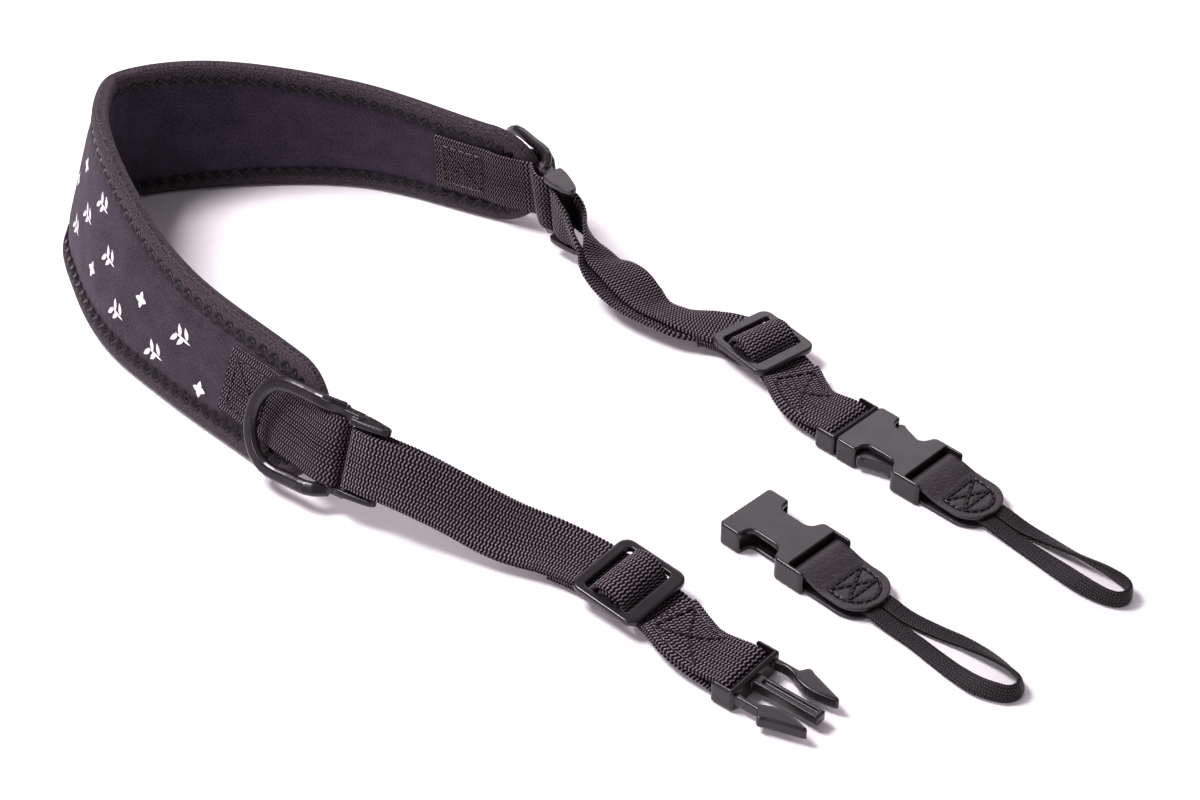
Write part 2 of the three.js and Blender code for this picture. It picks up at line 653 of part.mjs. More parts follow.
function prongHalf(squeeze) {
  const half = buckle.width / 2;
  const slot = buckle.slot / 2;
  const base = plate(roundedRectangle(0, buckle.front, -half, half, 1), 0, buckle.maleHeight, 0.8);
  const threadSlot = block(-1, buckle.cheek - 0.1, -slot, slot, -1, buckle.maleHeight + 1);
  const cheeks = carve([base], [threadSlot]);
  const bar = crossBar(buckle.maleBarX, barHeight, buckle.barRadius, buckle.width - 1);
  const guide = plate(roundedRectangle(7.8, 32.6, -2.2, 2.2, 0.8), 2.3, 6.2, 0.4);
  const channel = block(11, 31, -0.9, 0.9, 5.2, 7);
  const prongs = [1, -1].map((side) => plate(prongOutline(side, squeeze), 2.3, 6.4, 0.4));
  return carve([cheeks, bar, guide, ...prongs], [channel]);
}

// ---- leather tab: a strip folded round the connector's bar, its round ends sewn over the cord's ends ----
function leatherTab() {
  const turn = buckle.barRadius + gap + leather.thick / 2;
  const low = 0.25 + leather.thick / 2;
  const high = low + leather.thick + braid.thick + 2 * gap;
  const route = [
    [leather.end, low], [50, low], [42, low], [36.5, low + 0.2],
    ...aroundBar(buckle.barX, barHeight, turn, -80, -280),
    [37, barHeight + turn - 0.75], [42, high + 0.35], [47, high], [leather.end, high],
  ];
  const count = 54;
  const spots = flatCurve(route).getSpacedPoints(count);
  const rings = spots.map((spot, i) => {
    const along = spots[Math.min(i + 1, count)].clone().sub(spots[Math.max(i - 1, 0)]).normalize();
    const normal = new THREE.Vector2(-along.y, along.x).multiplyScalar(leather.thick / 2);
    const fromEnd = leather.end - spot.x;
    const missing = Math.max(leather.corner - fromEnd, 0);
    const narrowing = leather.corner - Math.sqrt(Math.max(leather.corner ** 2 - missing ** 2, 0));
    const half = leather.width / 2 - narrowing;
    return [[1, -1], [1, 1], [-1, 1], [-1, -1]].map(
      ([side, edge]) => new THREE.Vector3(spot.x + normal.x * side, edge * half, spot.y + normal.y * side),
    );
  });
  return skin(rings);
}

// ---- cord loop: a flat braid, both of its ends sewn into the leather tab ----
function cordLoop(rows) {
  const points = rows.map(({ x, y, z }) => new THREE.Vector3(x, y, z));
  const curve = new THREE.CatmullRomCurve3(points, false, 'centripetal');
  const steps = 52;
  const rings = Array.from({ length: steps + 1 }, (_, i) => {
    const along = i / steps;
    const knot = curve.getUtoTmapping(along) * (rows.length - 1);
    const row = Math.min(Math.floor(knot), rows.length - 2);
    const turn = radians(THREE.MathUtils.lerp(rows[row].turn, rows[row + 1].turn, knot - row));
    const way = curve.getTangentAt(along);
    const left = new THREE.Vector3().crossVectors(up, way).normalize();
    const high = new THREE.Vector3().crossVectors(way, left);
    const flat = left.multiplyScalar(Math.cos(turn)).addScaledVector(high, Math.sin(turn));
    const out = new THREE.Vector3().crossVectors(way, flat);
    const [wide, deep, ease] = [braid.width / 2, braid.thick / 2, braid.ease];
    const section = [[wide, deep - ease], [wide - ease, deep], [ease - wide, deep], [-wide, deep - ease],
      [-wide, ease - deep], [ease - wide, -deep], [wide - ease, -deep], [wide, ease - deep]];
    const middle = curve.getPointAt(along);
    return section.map(([w, q]) => middle.clone().addScaledVector(flat, w).addScaledVector(out, q));
  });
  return skin(rings);
}

// ---- the routes of the straps ----
// the sewn loop under the slider: a short flap, over the middle bar and back as the inner layer
const sewnLoop = (s) => [
  [s - 27, -1.5 * layer], [s - 16, -1.5 * layer], [s - 7, -1.5 * layer], [s - 3, -2.2], [s + 0.7, -0.9],
  [s + 2.8, 1.2], ...aroundBar(s, 3.45, 3.25, 0, 180, 0.84),
  [s - 4.4, 1.3], [s - 6.6, -0.2], [s - 9.5, -0.5 * layer], [s - 14, -0.5 * layer],
];
// the running layer: under the side bar, up over the sewn loop, and down under the broad bar
const overHump = (s) => [
  [s - 14, 0.5 * layer], [s - 10.5, 0.5 * layer], [s - 8.2, 1.5], [s - 6.3, 3.9],
  [s - 4.4, 6.6], [s, 8.1], [s + 4.4, 6.6], [s + 6, 3.9], [s + 7.2, 1.6], [s + 9, 0.5],
  [s + 14, 0.4],
];
// round the buckle bar and back on itself, as far as the raw end just past the slider
const aroundBuckle = (s, rawEnd) => {
  const middle = barHeight - 2.65;
  const turn = buckle.barRadius + gap + strap.thick / 2;
  return [
    [s - 18, 0.5 * layer], [s - 9, 0.2], ...aroundBar(s, middle, turn, -90, 90),
    [s - 7, 3.4], [s - 14, 1.5 * layer], [s - 22, 1.5 * layer], [rawEnd, 1.5 * layer],
  ];
};

// the two layers of a strap, from the sewn loop round the ring's wedge and on to the raw end
function strapStretches(innerBand, outerBand, spread) {
  const wedge = innerBand.line.lengthAtRow(0) + ring.wedgeAt;
  const turn = ring.barRadius + gap + strap.thick / 2;
  const outerSlider = outerBand.lengthAtSlider();
  const buckleBar = outerBand.line.length;
  return [
    {
      band: innerBand,
      route: [
        ...sewnLoop(innerBand.lengthAtSlider()),
        ...spread.toReversed().map(({ past, off }) => [wedge + past, -off]),
        ...aroundBar(wedge, 0, turn, -90, -180),
      ],
    },
    {
      band: outerBand,
      route: [
        ...aroundBar(wedge, 0, turn, 180, 90),
        ...spread.map(({ past, off }) => [wedge + past, off]),
        ...overHump(outerSlider), ...aroundBuckle(buckleBar, outerSlider + slider.length / 2 + slider.tail),
      ],
    },
  ];
}

// ---- the whole assembly ----
const neckStrap = new THREE.Group();
neckStrap.position.set(centreX, centreY, 0);

addMesh(neckStrap, 'neck_pad', neckPad(), padCloth);
addMesh(neckStrap, 'edge_binding', edgeBinding(), bindingKnit);

// the rows that carry a strap's line back onto the pad, so that the tab can follow it
function rowsOnPad(fromEnd, front) {
  return fromEnd.map((past) => {
    const s = front ? -past : padLine.length + past;
    const { values } = padLine.at(s);
    const middle = padPoint(s, values.tall / 2, 0);
    return { x: middle.x, y: middle.y, z: middle.z, lean: values.lean };
  });
}

function addEnd(name, front, innerRows, outerRows, spread) {
  const side = front ? -1 : 1;
  const onPad = rowsOnPad(tabFollows, front);
  const lastOnPad = tabFollows[tabFollows.length - 1];
  const tabBand = new Band([...onPad, innerRows[0], innerRows[1]], side);
  const bar = tabBand.line.lengthAtRow(onPad.length);
  const tip = tabBand.line.lengthAtRow(onPad.length - 1) + pad.tip - lastOnPad;
  const tabShape = webbing([{ band: tabBand, route: tabRoute(tip, bar) }], tab);
  addMesh(neckStrap, `tab_webbing_${name}`, tabShape, tabWebbing);

  const innerBand = new Band(innerRows, side);
  const outerBand = new Band(outerRows, side);
  const ringMesh = addMesh(neckStrap, `ring_${name}`, moulding(name), acetal);
  ringMesh.applyMatrix4(outerBand.placement(0));
  const strapShape = webbing(strapStretches(innerBand, outerBand, spread), strap);
  addMesh(neckStrap, `strap_webbing_${name}`, strapShape, strapWebbing);
  const sliderMesh = addMesh(neckStrap, `slider_${name}`, threeBarSlider(), acetal);
  sliderMesh.applyMatrix4(outerBand.placement(outerBand.lengthAtSlider(), slider.seat));
}
addEnd('front', true, frontRows, frontRows, frontSpread);
addEnd('back', false, backInnerRows, backOuterRows, backSpread);

function connectorGroup({ x, y, yaw }) {
  const group = new THREE.Group();
  group.position.set(x, y, tableLift);
  group.rotation.z = radians(yaw);
  neckStrap.add(group);
  return group;
}

// a connector turned by yaw with the bar at barX in the last bend of its strap
function connectorOn(rows, barX, yaw) {
  const { x, y } = rows[rows.length - 1];
  return { x: x - barX * Math.cos(radians(yaw)), y: y - barX * Math.sin(radians(yaw)), yaw };
}

const frontGroup = connectorGroup(connectorOn(frontRows, buckle.maleBarX, frontYaw));
addMesh(frontGroup, 'male_buckle_front', prongHalf(0), acetal);

const backGroup = connectorGroup(connectorOn(backSlider, buckle.clipped + buckle.maleBarX, backYaw));
addMesh(backGroup, 'male_buckle_back', prongHalf(1.2), acetal).position.x = buckle.clipped;

[['back', backGroup, backLoopRows], ['loose', connectorGroup(looseConnector), looseLoopRows]].forEach(
  ([name, group, loopRows]) => {
    addMesh(group, `female_buckle_${name}`, socketHalf(), acetal);
    addMesh(group, `leather_tab_${name}`, leatherTab(), blackLeather);
    addMesh(group, `cord_loop_${name}`, cordLoop(loopRows), blackBraid);
  },
);

export default neckStrap;
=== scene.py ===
# Binocular neck strap: a bound foam neck pad standing on its edge, a webbing tab and a moulded ring
# at each end, two adjustable straps with sliders, and two quick-release connectors with cord loops.
# Lengths in the sections are millimetres, turned into metres as each mesh is made.
import math

import bmesh
import bpy
import numpy as np
from mathutils import Matrix, Vector
from mathutils.bvhtree import BVHTree
from mathutils.kdtree import KDTree


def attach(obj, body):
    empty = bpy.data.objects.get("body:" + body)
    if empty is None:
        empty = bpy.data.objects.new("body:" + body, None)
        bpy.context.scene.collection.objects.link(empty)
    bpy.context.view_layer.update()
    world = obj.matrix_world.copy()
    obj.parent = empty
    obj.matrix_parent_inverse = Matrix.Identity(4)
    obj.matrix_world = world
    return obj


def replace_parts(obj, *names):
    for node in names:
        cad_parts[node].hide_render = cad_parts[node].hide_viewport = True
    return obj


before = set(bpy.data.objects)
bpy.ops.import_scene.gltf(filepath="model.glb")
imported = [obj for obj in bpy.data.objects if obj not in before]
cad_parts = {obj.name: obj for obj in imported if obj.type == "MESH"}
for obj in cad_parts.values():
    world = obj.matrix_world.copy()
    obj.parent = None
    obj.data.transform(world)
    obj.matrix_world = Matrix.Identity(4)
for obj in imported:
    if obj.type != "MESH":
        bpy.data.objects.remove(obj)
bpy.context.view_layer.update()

# ---- camera ----
# A long lens looks down on the open side of the U from the front. It stands less than a metre
# away, so the far side of the pad comes out smaller than the straps in front of it.
LOOK_DOWN = 38.6


def linked(name, data):
    """A new object of the scene with a mesh, a lamp or a camera as its data."""
    made = bpy.data.objects.new(name, data)
    bpy.context.scene.collection.objects.link(made)
    return made


camera = linked("camera", bpy.data.cameras.new("camera"))
bpy.context.scene.camera = camera
camera.data.lens = 75
camera.data.sensor_width = 36
camera.data.clip_end = 20
camera.location = (0.03424, -0.66303, 0.539)
camera.rotation_euler = (math.radians(90 - LOOK_DOWN), 0, 0)

# ---- cord loops ----
# Each is one flat braid, both of its ends sewn into a leather tab. It lies flat beside the tab and
# turns up on its edge where it bends back on itself.
MM = 0.001
TABLE_LIFT = 0.05
CONNECTORS = {
    "loose": {"x": 80.94, "y": -52.83, "yaw": -45.7},
    "back": {"x": 121.06, "y": -10.502, "yaw": -44.7},
}
BRAID = {"width": 6.0, "thick": 1.8, "plait": 1.5, "columns": 6, "relief": 0.13, "thread": 0.95}
BRAID_MESH = {"step": 0.22, "round": 44}
LINE_STEPS = 24
# along and across the connector, height, and how far the braid has turned up on its edge, degrees
LOOSE_LOOP = [
    (46, -3.2, 2.65, 0), (58, -3.2, 2.5, 0), (66, -3.1, 1.4, 0), (75, -3.2, 1.2, 2), (84, -4.2, 1.4, 6),
    (93, -5.2, 1.9, 16), (101, -5.4, 2.65, 36), (107.2, -3.9, 3.2, 60), (110.1, -2.2, 3.3, 72),
    (111.3, 1, 3.3, 78), (110.1, 4.2, 3.3, 74), (107.2, 5.9, 3.2, 62), (102, 7.1, 2.95, 46),
    (95.5, 7.6, 2.5, 30), (86, 7, 1.7, 12), (76, 5, 1.3, 4), (66, 3.5, 1.4, 0), (58, 3.2, 2.5, 0),
    (46, 3.2, 2.65, 0),
]
BACK_LOOP = [
    (46, -3.2, 2.65, 0), (58, -3.3, 2.5, 0), (68, -3.6, 1.4, 2), (78, -4.6, 1.5, 8), (88, -6, 2.25, 24),
    (97, -7.2, 3, 48), (102, -7.4, 3.2, 64), (107.8, -6.7, 3.35, 80), (110.7, -5.1, 3.35, 84),
    (111.8, -2, 3.35, 86), (110.7, 1.1, 3.35, 84), (107.8, 2.7, 3.35, 80), (101, 3.4, 3.3, 70),
    (92, 3.1, 3.05, 50), (80, 2.9, 2.25, 24), (68, 3, 1.4, 4), (58, 3.2, 2.5, 0), (46, 3.2, 2.65, 0),
]


def lengths_to(points):
    """The length along a line of points to each of them."""
    return np.append(0, np.cumsum(np.linalg.norm(np.diff(points, axis=0), axis=1)))


def smooth_line(rows, knot_columns, length_columns):
    """Close points on a smooth curve through rows of columns, and the length along to each."""
    rows = np.array(rows, float)
    held = np.vstack([2 * rows[0] - rows[1], rows, 2 * rows[-1] - rows[-2]])
    t = np.arange(LINE_STEPS)[:, None] / LINE_STEPS
    spans = []
    for p0, p1, p2, p3 in zip(held, held[1:], held[2:], held[3:]):
        d0, d1, d2 = (
            math.sqrt(np.linalg.norm((b - a)[:knot_columns])) for a, b in ((p0, p1), (p1, p2), (p2, p3))
        )
        m1 = d1 * ((p1 - p0) / d0 - (p2 - p0) / (d0 + d1) + (p2 - p1) / d1)
        m2 = d1 * ((p2 - p1) / d1 - (p3 - p1) / (d1 + d2) + (p3 - p2) / d2)
        square, cube = 3 * p2 - 3 * p1 - 2 * m1 - m2, 2 * p1 - 2 * p2 + m1 + m2
        spans.append(p1 + m1 * t + square * t**2 + cube * t**3)
    points = np.vstack([*spans, rows[-1:]])
    return points, lengths_to(points[:, :length_columns])


def read_at(wanted, lengths, points):
    """The columns of a curve at the wanted lengths along it."""
    return np.stack([np.interp(wanted, lengths, column) for column in points.T], axis=-1)


def spaced(points, lengths, step):
    """The same curve as points an even step apart."""
    count = max(2, round(lengths[-1] / step))
    return read_at(np.linspace(0, lengths[-1], count + 1), lengths, points)


def unit(vectors):
    return vectors / np.linalg.norm(vectors, axis=-1, keepdims=True)


def swept_mesh(name, rings, along, around, endless=False):
    """A closed skin over rings of points in millimetres, with a UV map that is also in millimetres:
    along at each ring, and around at each point of a ring, with one value more to close it."""
    count, size = rings.shape[:2]
    index = np.arange(count * size).reshape(count, size)
    closed = np.column_stack([index, index[:, 0]])
    if endless:
        closed = np.vstack([closed, closed[:1]])
    flat = np.stack(np.broadcast_arrays(along[:, None], around[None]), axis=-1)

    def corners(grid):
        return np.stack([grid[:-1, :-1], grid[:-1, 1:], grid[1:, 1:], grid[1:, :-1]], axis=2)

    faces = corners(closed).reshape(-1, 4).tolist()
    uv = corners(flat).reshape(-1, 2)
    if not endless:
        faces += [index[0][::-1].tolist(), index[-1].tolist()]
        uv = np.vstack([uv, flat[0, :-1], flat[-1, :-1]])
    mesh = bpy.data.meshes.new(name)
    mesh.from_pydata((rings.reshape(-1, 3) * MM).tolist(), [], faces)
    mesh.uv_layers.new(name="UVMap").data.foreach_set("uv", uv.ravel())
    shape = bmesh.new()
    shape.from_mesh(mesh)
    inside_out = shape.calc_volume(signed=True) < 0
    shape.free()
    if inside_out:
        mesh.flip_normals()
    mesh.shade_smooth()
    return mesh


def add_piece(name, mesh, material):
    """A visible piece on the one body; without a material it keeps what its mesh brings."""
    piece = linked(name, mesh)
    if material:
        mesh.materials.clear()
        mesh.materials.append(material)
    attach(piece, "root")
    return piece


def maker(tree):
    """Short calls for building one node tree."""
    def node(kind, *links, **values):
        made = tree.nodes.new(kind)
        sockets = values.pop("sockets", {})
        for key, value in values.items():
            setattr(made, key, value)
        for key, value in sockets.items():
            made.inputs[key].default_value = value
        for key, source in links:
            tree.links.new(source, made.inputs[key])
        return made

    def maths(operation, *terms):
        made = node("ShaderNodeMath", operation=operation)
        for socket, term in zip(made.inputs, terms):
            if isinstance(term, (int, float)):
                socket.default_value = term
            else:
                tree.links.new(term, socket)
        return made.outputs[0]

    return node, maths


def noise(node, place, scale, detail, roughness=0.5):
    """Uneven values round a half; a greater scale makes a finer grain."""
    return node("ShaderNodeTexNoise", ("Vector", place), sockets={
        "Scale": scale, "Detail": detail, "Roughness": roughness,
    }).outputs[0]


def spread(node, value, low, high, to_low=0.0, to_high=1.0):
    """A value taken from one range to another, and held inside it."""
    return node("ShaderNodeMapRange", (0, value), sockets={1: low, 2: high, 3: to_low, 4: to_high}).outputs[0]


def place_on_cloth(node):
    """The UV map's place in millimetres, then its length along the piece and across it."""
    place = node("ShaderNodeUVMap").outputs[0]
    return place, *node("ShaderNodeSeparateXYZ", (0, place)).outputs[:2]


def new_finish(name, roughness, **shader_values):
    """A material, and the short calls for the nodes that give its colour and relief."""
    material = bpy.data.materials.new(name)
    material.use_nodes = True
    inputs = material.node_tree.nodes["Principled BSDF"].inputs
    inputs["Roughness"].default_value = roughness
    for key, value in shader_values.items():
        inputs[key.replace("_", " ")].default_value = value
    return material, *maker(material.node_tree)


def wire(material, socket, source):
    """Feeds one socket of the material's shader."""
    tree = material.node_tree
    tree.links.new(source, tree.nodes["Principled BSDF"].inputs[socket])


def two_tone(material, share, dark, light):
    """A colour between two tones, by a share from 0 to 1."""
    node = maker(material.node_tree)[0]
    mix = node("ShaderNodeMix", (0, share), data_type="RGBA", sockets={6: (*dark, 1), 7: (*light, 1)})
    wire(material, "Base Color", mix.outputs[2])


def relief(material, height, strength, distance):
    """Fine relief up to a distance in millimetres."""
    node = maker(material.node_tree)[0]
    bump = node("ShaderNodeBump", ("Height", height), sockets={
        "Strength": strength, "Distance": distance * MM,
    })
    wire(material, "Normal", bump.outputs[0])


def braid_finish():
    material, node, maths = new_finish("black_braid", 0.5, Specular_IOR_Level=0.15)
    place, along, across = place_on_cloth(node)
    swing = maths("SINE", maths("MULTIPLY", across, math.pi / (BRAID["width"] / BRAID["columns"])))
    thread = maths("MULTIPLY_ADD", along, math.tau / BRAID["thread"], maths("MULTIPLY", swing, 2.6))
    plait = maths("MULTIPLY_ADD", maths("SINE", thread), 0.5, 0.5)
    ridge = maths("MULTIPLY", plait, maths("POWER", maths("ABSOLUTE", swing), 0.8))
    # painted highlight: the ridges of the plait are coloured lighter and the grooves between them near black
    share = maths("MULTIPLY", maths("POWER", ridge, 1.5), noise(node, place, 1.7, 4, 0.8))
    two_tone(material, share, (0.0015, 0.0012, 0.0014), (0.11, 0.092, 0.103))
    relief(material, ridge, 0.8, 0.16)
    return material


def in_place(points, connector):
    """Points in a connector's own frame, taken to where it lies."""
    yaw = math.radians(connector["yaw"])
    x = connector["x"] + points[..., 0] * math.cos(yaw) - points[..., 1] * math.sin(yaw)
    y = connector["y"] + points[..., 0] * math.sin(yaw) + points[..., 1] * math.cos(yaw)
    return np.stack([x, y, points[..., 2] + TABLE_LIFT], axis=-1)


def cord_loop(name, rows, material):
    """One braid through rows of points, with its plait raised on it."""
    connector = CONNECTORS[name]
    dense, lengths = smooth_line(rows, 3, 3)
    line = spaced(dense, lengths, BRAID_MESH["step"])
    way = unit(np.gradient(line[:, :3], axis=0))
    left = unit(np.cross([0, 0, 1], way))
    high = np.cross(way, left)
    turn = np.radians(line[:, 3:])
    flat = np.cos(turn) * left + np.sin(turn) * high
    out = np.cross(way, flat)
    angle = np.arange(BRAID_MESH["round"]) / BRAID_MESH["round"] * math.tau
    # a flat oval whose broad faces carry the ridges of the plait
    wide = np.sign(np.cos(angle)) * np.abs(np.cos(angle)) ** 0.75 * BRAID["width"] / 2
    deep = np.sign(np.sin(angle)) * np.abs(np.sin(angle)) ** 0.55 * (BRAID["thick"] / 2 - BRAID["relief"])
    along = np.linspace(0, lengths[-1], len(line))
    column = wide / BRAID["width"] * BRAID["columns"]
    slant = np.abs((column + 0.5) % 2 - 1)
    wave = np.sin((along[:, None] / BRAID["plait"] + slant[None] * 0.5) * math.tau)
    ridge = 0.5 - 0.5 * np.cos(column * math.tau + math.pi)
    swell = 1 + (BRAID["relief"] / 0.9) * (0.55 * ridge[None] + 0.45 * wave)
    rings = line[:, None, :3] + flat[:, None] * wide[None, :, None] + out[:, None] * (deep * swell)[..., None]
    mesh = swept_mesh(f"braid_{name}", in_place(rings, connector), along, np.append(wide, wide[0]))
    piece = add_piece(f"braid_{name}", mesh, material)
    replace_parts(piece, f"cord_loop_{name}")


braid = braid_finish()
cord_loop("loose", LOOSE_LOOP, braid)
cord_loop("back", BACK_LOOP, braid)

# ---- neck pad ----
# A strip of neoprene foam faced with jersey on both sides, heather outside and near black inside.
# It stands on its long edge in a U and swells between the rows of stitching that hold its binding.
CENTRE = np.array([18.24, 6.97, 0])
PAD = {"foam": 3.2, "clear": 0.4, "cover": 0.7, "margin": 8.0, "tip": 22.0}
PAD_COLUMNS, CLOTH_HALF = 49, 30
SWELL = {"flat": 1.9, "crown": 0.75, "ripple": 0.06, "pinch": 0.3, "tuck": 0.12, "crease": 0.05}
ZIGZAG = {"pitch": 5.6, "middle": 6.7, "swing": 1.5, "crease": 0.8, "breadth": 0.8}
# lower edge of the pad, lean of its top into the U in degrees, and height up its face
PAD_ROWS = [
    (-95, -33, 24, 43.6), (-135, 7, 20, 48.6), (-158, 34, 19, 57.8), (-173, 65, 15.5, 66.6),
    (-182, 98, 17.2, 68), (-172.5, 125.2, 13.8, 64.6), (-133.5, 138, 4.5, 58.2),
    (-76.5, 139, 4.6, 48.6), (-23.9, 117.2, 6.2, 43.6),
]


def column_at(line, s, column):
    return np.interp(s, line[1], line[0][:, column])


def place_and_way(line, s, with_height):
    """Points at lengths s along a line, which runs on straight past its ends, and its direction there."""
    points, lengths = line
    used = points[:, :3] * (1, 1, with_height)
    # no two lengths may be equal where the slope is taken
    tangents = np.gradient(used, lengths + np.arange(len(lengths)) * 1e-9, axis=0)
    way = unit(read_at(s, lengths, tangents))
    beyond = s - np.clip(s, 0, lengths[-1])
    return read_at(s, lengths, used) + way * beyond[..., None], way


def leaning_frame(way, lean, side):
    """The direction out of a leaning band's face, and the one across it, up its face."""
    out = unit(np.stack([-way[..., 1], way[..., 0], np.zeros(way.shape[:-1])], axis=-1)) * side
    lean = np.radians(lean)[..., None]
    face = out * np.cos(lean) + np.array([0, 0, 1]) * np.sin(lean)
    face = unit(face - way * np.sum(face * way, axis=-1, keepdims=True))
    return face, np.cross(way, face) * side


pad_line = smooth_line(PAD_ROWS, 2, 2)
PAD_LENGTH = pad_line[1][-1]


def pad_point(s, h, q):
    """The pad's own coordinates: s along it, h up its face from the table, q out of its outer face."""
    s, h, q = np.broadcast_arrays(s, h, q)
    place, way = place_and_way(pad_line, s, False)
    lean = column_at(pad_line, s, 2)
    face, across = leaning_frame(way, lean, 1)
    lift = TABLE_LIFT + PAD["foam"] / 2 * np.sin(np.radians(lean))
    point = place + across * h[..., None] + face * q[..., None]
    point[..., 2] += lift
    return point + CENTRE


def pad_tall(s):
    return column_at(pad_line, s, 3)


def rim_depth(s, h):
    """How far inside the pad's rim a point lies, roughly, with rounded ends."""
    tall = pad_tall(s)
    level = np.minimum(h, tall - h)
    past = np.maximum(np.maximum(-s, s - PAD_LENGTH), 0)
    from_middle = np.hypot(past * (tall / 2) / PAD["tip"], h - tall / 2)
    return np.where(past > 0, tall / 2 - from_middle, level)


def soft_step(value, low, high):
    t = np.clip((value - low) / (high - low), 0, 1)
    return t * t * (3 - 2 * t)


def zigzag_depth(run):
    """The seam's distance from the rim, swinging between two rows of needle holes."""
    phase = (run / ZIGZAG["pitch"]) % 1
    return ZIGZAG["middle"] + ZIGZAG["swing"] * (4 * np.abs(phase - 0.5) - 1)


def pad_swell(s, h, outer):
    """Half thickness of the pad: thin under the binding, crowned in the open, flat under the tabs."""
    depth = rim_depth(s, h)
    from_end = np.minimum(s, PAD_LENGTH - s)
    crown = SWELL["crown"] * soft_step(from_end, 12, 60) + 0.05
    ripple = SWELL["ripple"] * np.sin(s * 0.31 + h * 0.05) * np.sin(h * 0.17 + s * 0.043)
    pinch = SWELL["pinch"] * np.exp(-((depth - 8.2) / 1.3) ** 2)
    tucks = SWELL["tuck"] * np.cos(s * math.tau / ZIGZAG["pitch"]) * np.exp(-((depth - 9.6) / 2.0) ** 2)
    swell = SWELL["flat"] + crown * soft_step(depth, 6.5, 17) - pinch
    swell += (tucks + ripple) * soft_step(depth, 7, 9)
    creases = SWELL["crease"] * np.sin(s * 1.15 + 0.6 * np.sin(h * 0.21)) * soft_step(from_end, 60, 110)
    return swell if outer else swell + creases


def knitted(maths, joined, wale_at, wale_pitch, course_at, course_pitch, sway):
    """The loops of a knit, from 0 to 1: wales, and courses that sway with them."""
    wale = maths("SINE", maths("MULTIPLY", wale_at, math.tau / wale_pitch))
    swayed = maths("MULTIPLY_ADD", course_at, math.tau / course_pitch, maths("MULTIPLY", wale, sway))
    return maths("MULTIPLY_ADD", maths(joined, wale, maths("SINE", swayed)), 0.25, 0.5)


def jersey_finish(name, dark, light, roughness):
    """Fine flecked knit, lighter and darker in broad clouds."""
    material, node, maths = new_finish(
        name, roughness, Sheen_Weight=0.08, Sheen_Roughness=0.5, Sheen_Tint=(0.8, 0.72, 0.85, 1),
        Specular_IOR_Level=0.12,
    )
    place, along, across = place_on_cloth(node)
    fleck = noise(node, place, 1.1, 6, 0.85)
    loops = knitted(maths, "MULTIPLY", along, 0.55, across, 0.6, 0.9)
    mixed = maths("ADD", maths("MULTIPLY", fleck, 0.75), maths("MULTIPLY", loops, 0.25))
    cloudy = maths("SUBTRACT", noise(node, place, 0.09, 2), 0.5)
    tone = maths("MULTIPLY_ADD", cloudy, 0.15, mixed)
    two_tone(material, spread(node, tone, 0.4, 0.72), dark, light)
    relief(material, maths("ADD", maths("MULTIPLY", loops, 0.7), maths("MULTIPLY", fleck, 0.6)), 0.55, 0.09)
    return material


def neck_pad():
    """The covered foam as one closed skin, with a jersey for each face."""
    inset = PAD["cover"] + 0.6
    reach = PAD["tip"] - inset
    tip = [(-reach * math.cos(a), math.sin(a)) for a in np.radians(np.linspace(6, 90, 24))]
    straight = np.linspace(0, PAD_LENGTH, 420)[1:-1]
    stations = tip + [(s, 1) for s in straight] + [(PAD_LENGTH - s, share) for s, share in reversed(tip)]
    s, share = np.array(stations).T[:, :, None]
    tall = pad_tall(s)
    half_tall = (tall / 2 - inset) * share
    across = np.linspace(-1, 1, PAD_COLUMNS)[None]
    ease = np.clip(0.35 + share * 1.4, 0, 1)
    h = tall / 2 + half_tall * across
    rounding = np.sqrt(np.clip(1 - (np.maximum(np.abs(across) - 0.97, 0) / 0.031) ** 2, 0, 1))
    outer_q = pad_swell(s, h, True) * ease * rounding
    inner_q = -pad_swell(s, h, False) * ease * rounding
    rings = np.concatenate([pad_point(s, h, outer_q), pad_point(s, h, inner_q)[:, ::-1]], axis=1)
    around = np.concatenate([across[0], across[0][::-1], across[0][:1]]) * CLOTH_HALF
    mesh = swept_mesh("pad_foam", rings, s[:, 0], around)
    outside = jersey_finish("heather_jersey", (0.006, 0.0047, 0.0062), (0.088, 0.07, 0.09), 0.85)
    inside = jersey_finish("dark_jersey", (0.005, 0.0036, 0.0062), (0.072, 0.054, 0.085), 0.75)
    piece = add_piece("pad_foam", mesh, outside)
    mesh.materials.append(inside)
    one_ring = [0] * (PAD_COLUMNS - 1) + [1] * (PAD_COLUMNS + 1)
    on_inside = one_ring * (len(stations) - 1) + [0, 0]
    mesh.polygons.foreach_set("material_index", on_inside)
    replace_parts(piece, "neck_pad")


neck_pad()

# ---- printed motifs ----
# Small white screen-printed sprigs and stars, set brickwise over the pad's outer face.
# Each is a few leaves lying a hair above the jersey.
MOTIF = {
    "row": 13.0, "pitch": 25.0, "sprig": 4.6, "star": 3.2, "wide": 1.9, "lift": 0.05, "clear": 10.5,
    "from_end": 30,
}
MOTIF_ROWS = 5


def print_finish():
    material, node = new_finish("white_print", 0.6)[:2]
    wear = noise(node, node("ShaderNodeTexCoord").outputs["Object"], 2600, 3)
    two_tone(material, spread(node, wear, 0.28, 0.5), (0.32, 0.3, 0.33), (0.82, 0.81, 0.82))
    relief(material, wear, 0.3, 0.03)
    return material


def leaf(s, h, angle, length, width):
    """A pointed leaf from (s, h), as strips of points in s and h."""
    t = np.linspace(0, 1, 8)
    half = width / 2 * np.sin(math.pi * t**0.8)
    direction = np.array([math.cos(angle), math.sin(angle)])
    side = np.array([-direction[1], direction[0]])
    middle = np.array([s, h]) + direction * (t * length)[:, None]
    return np.stack([middle - side * half[:, None], middle, middle + side * half[:, None]], axis=1)


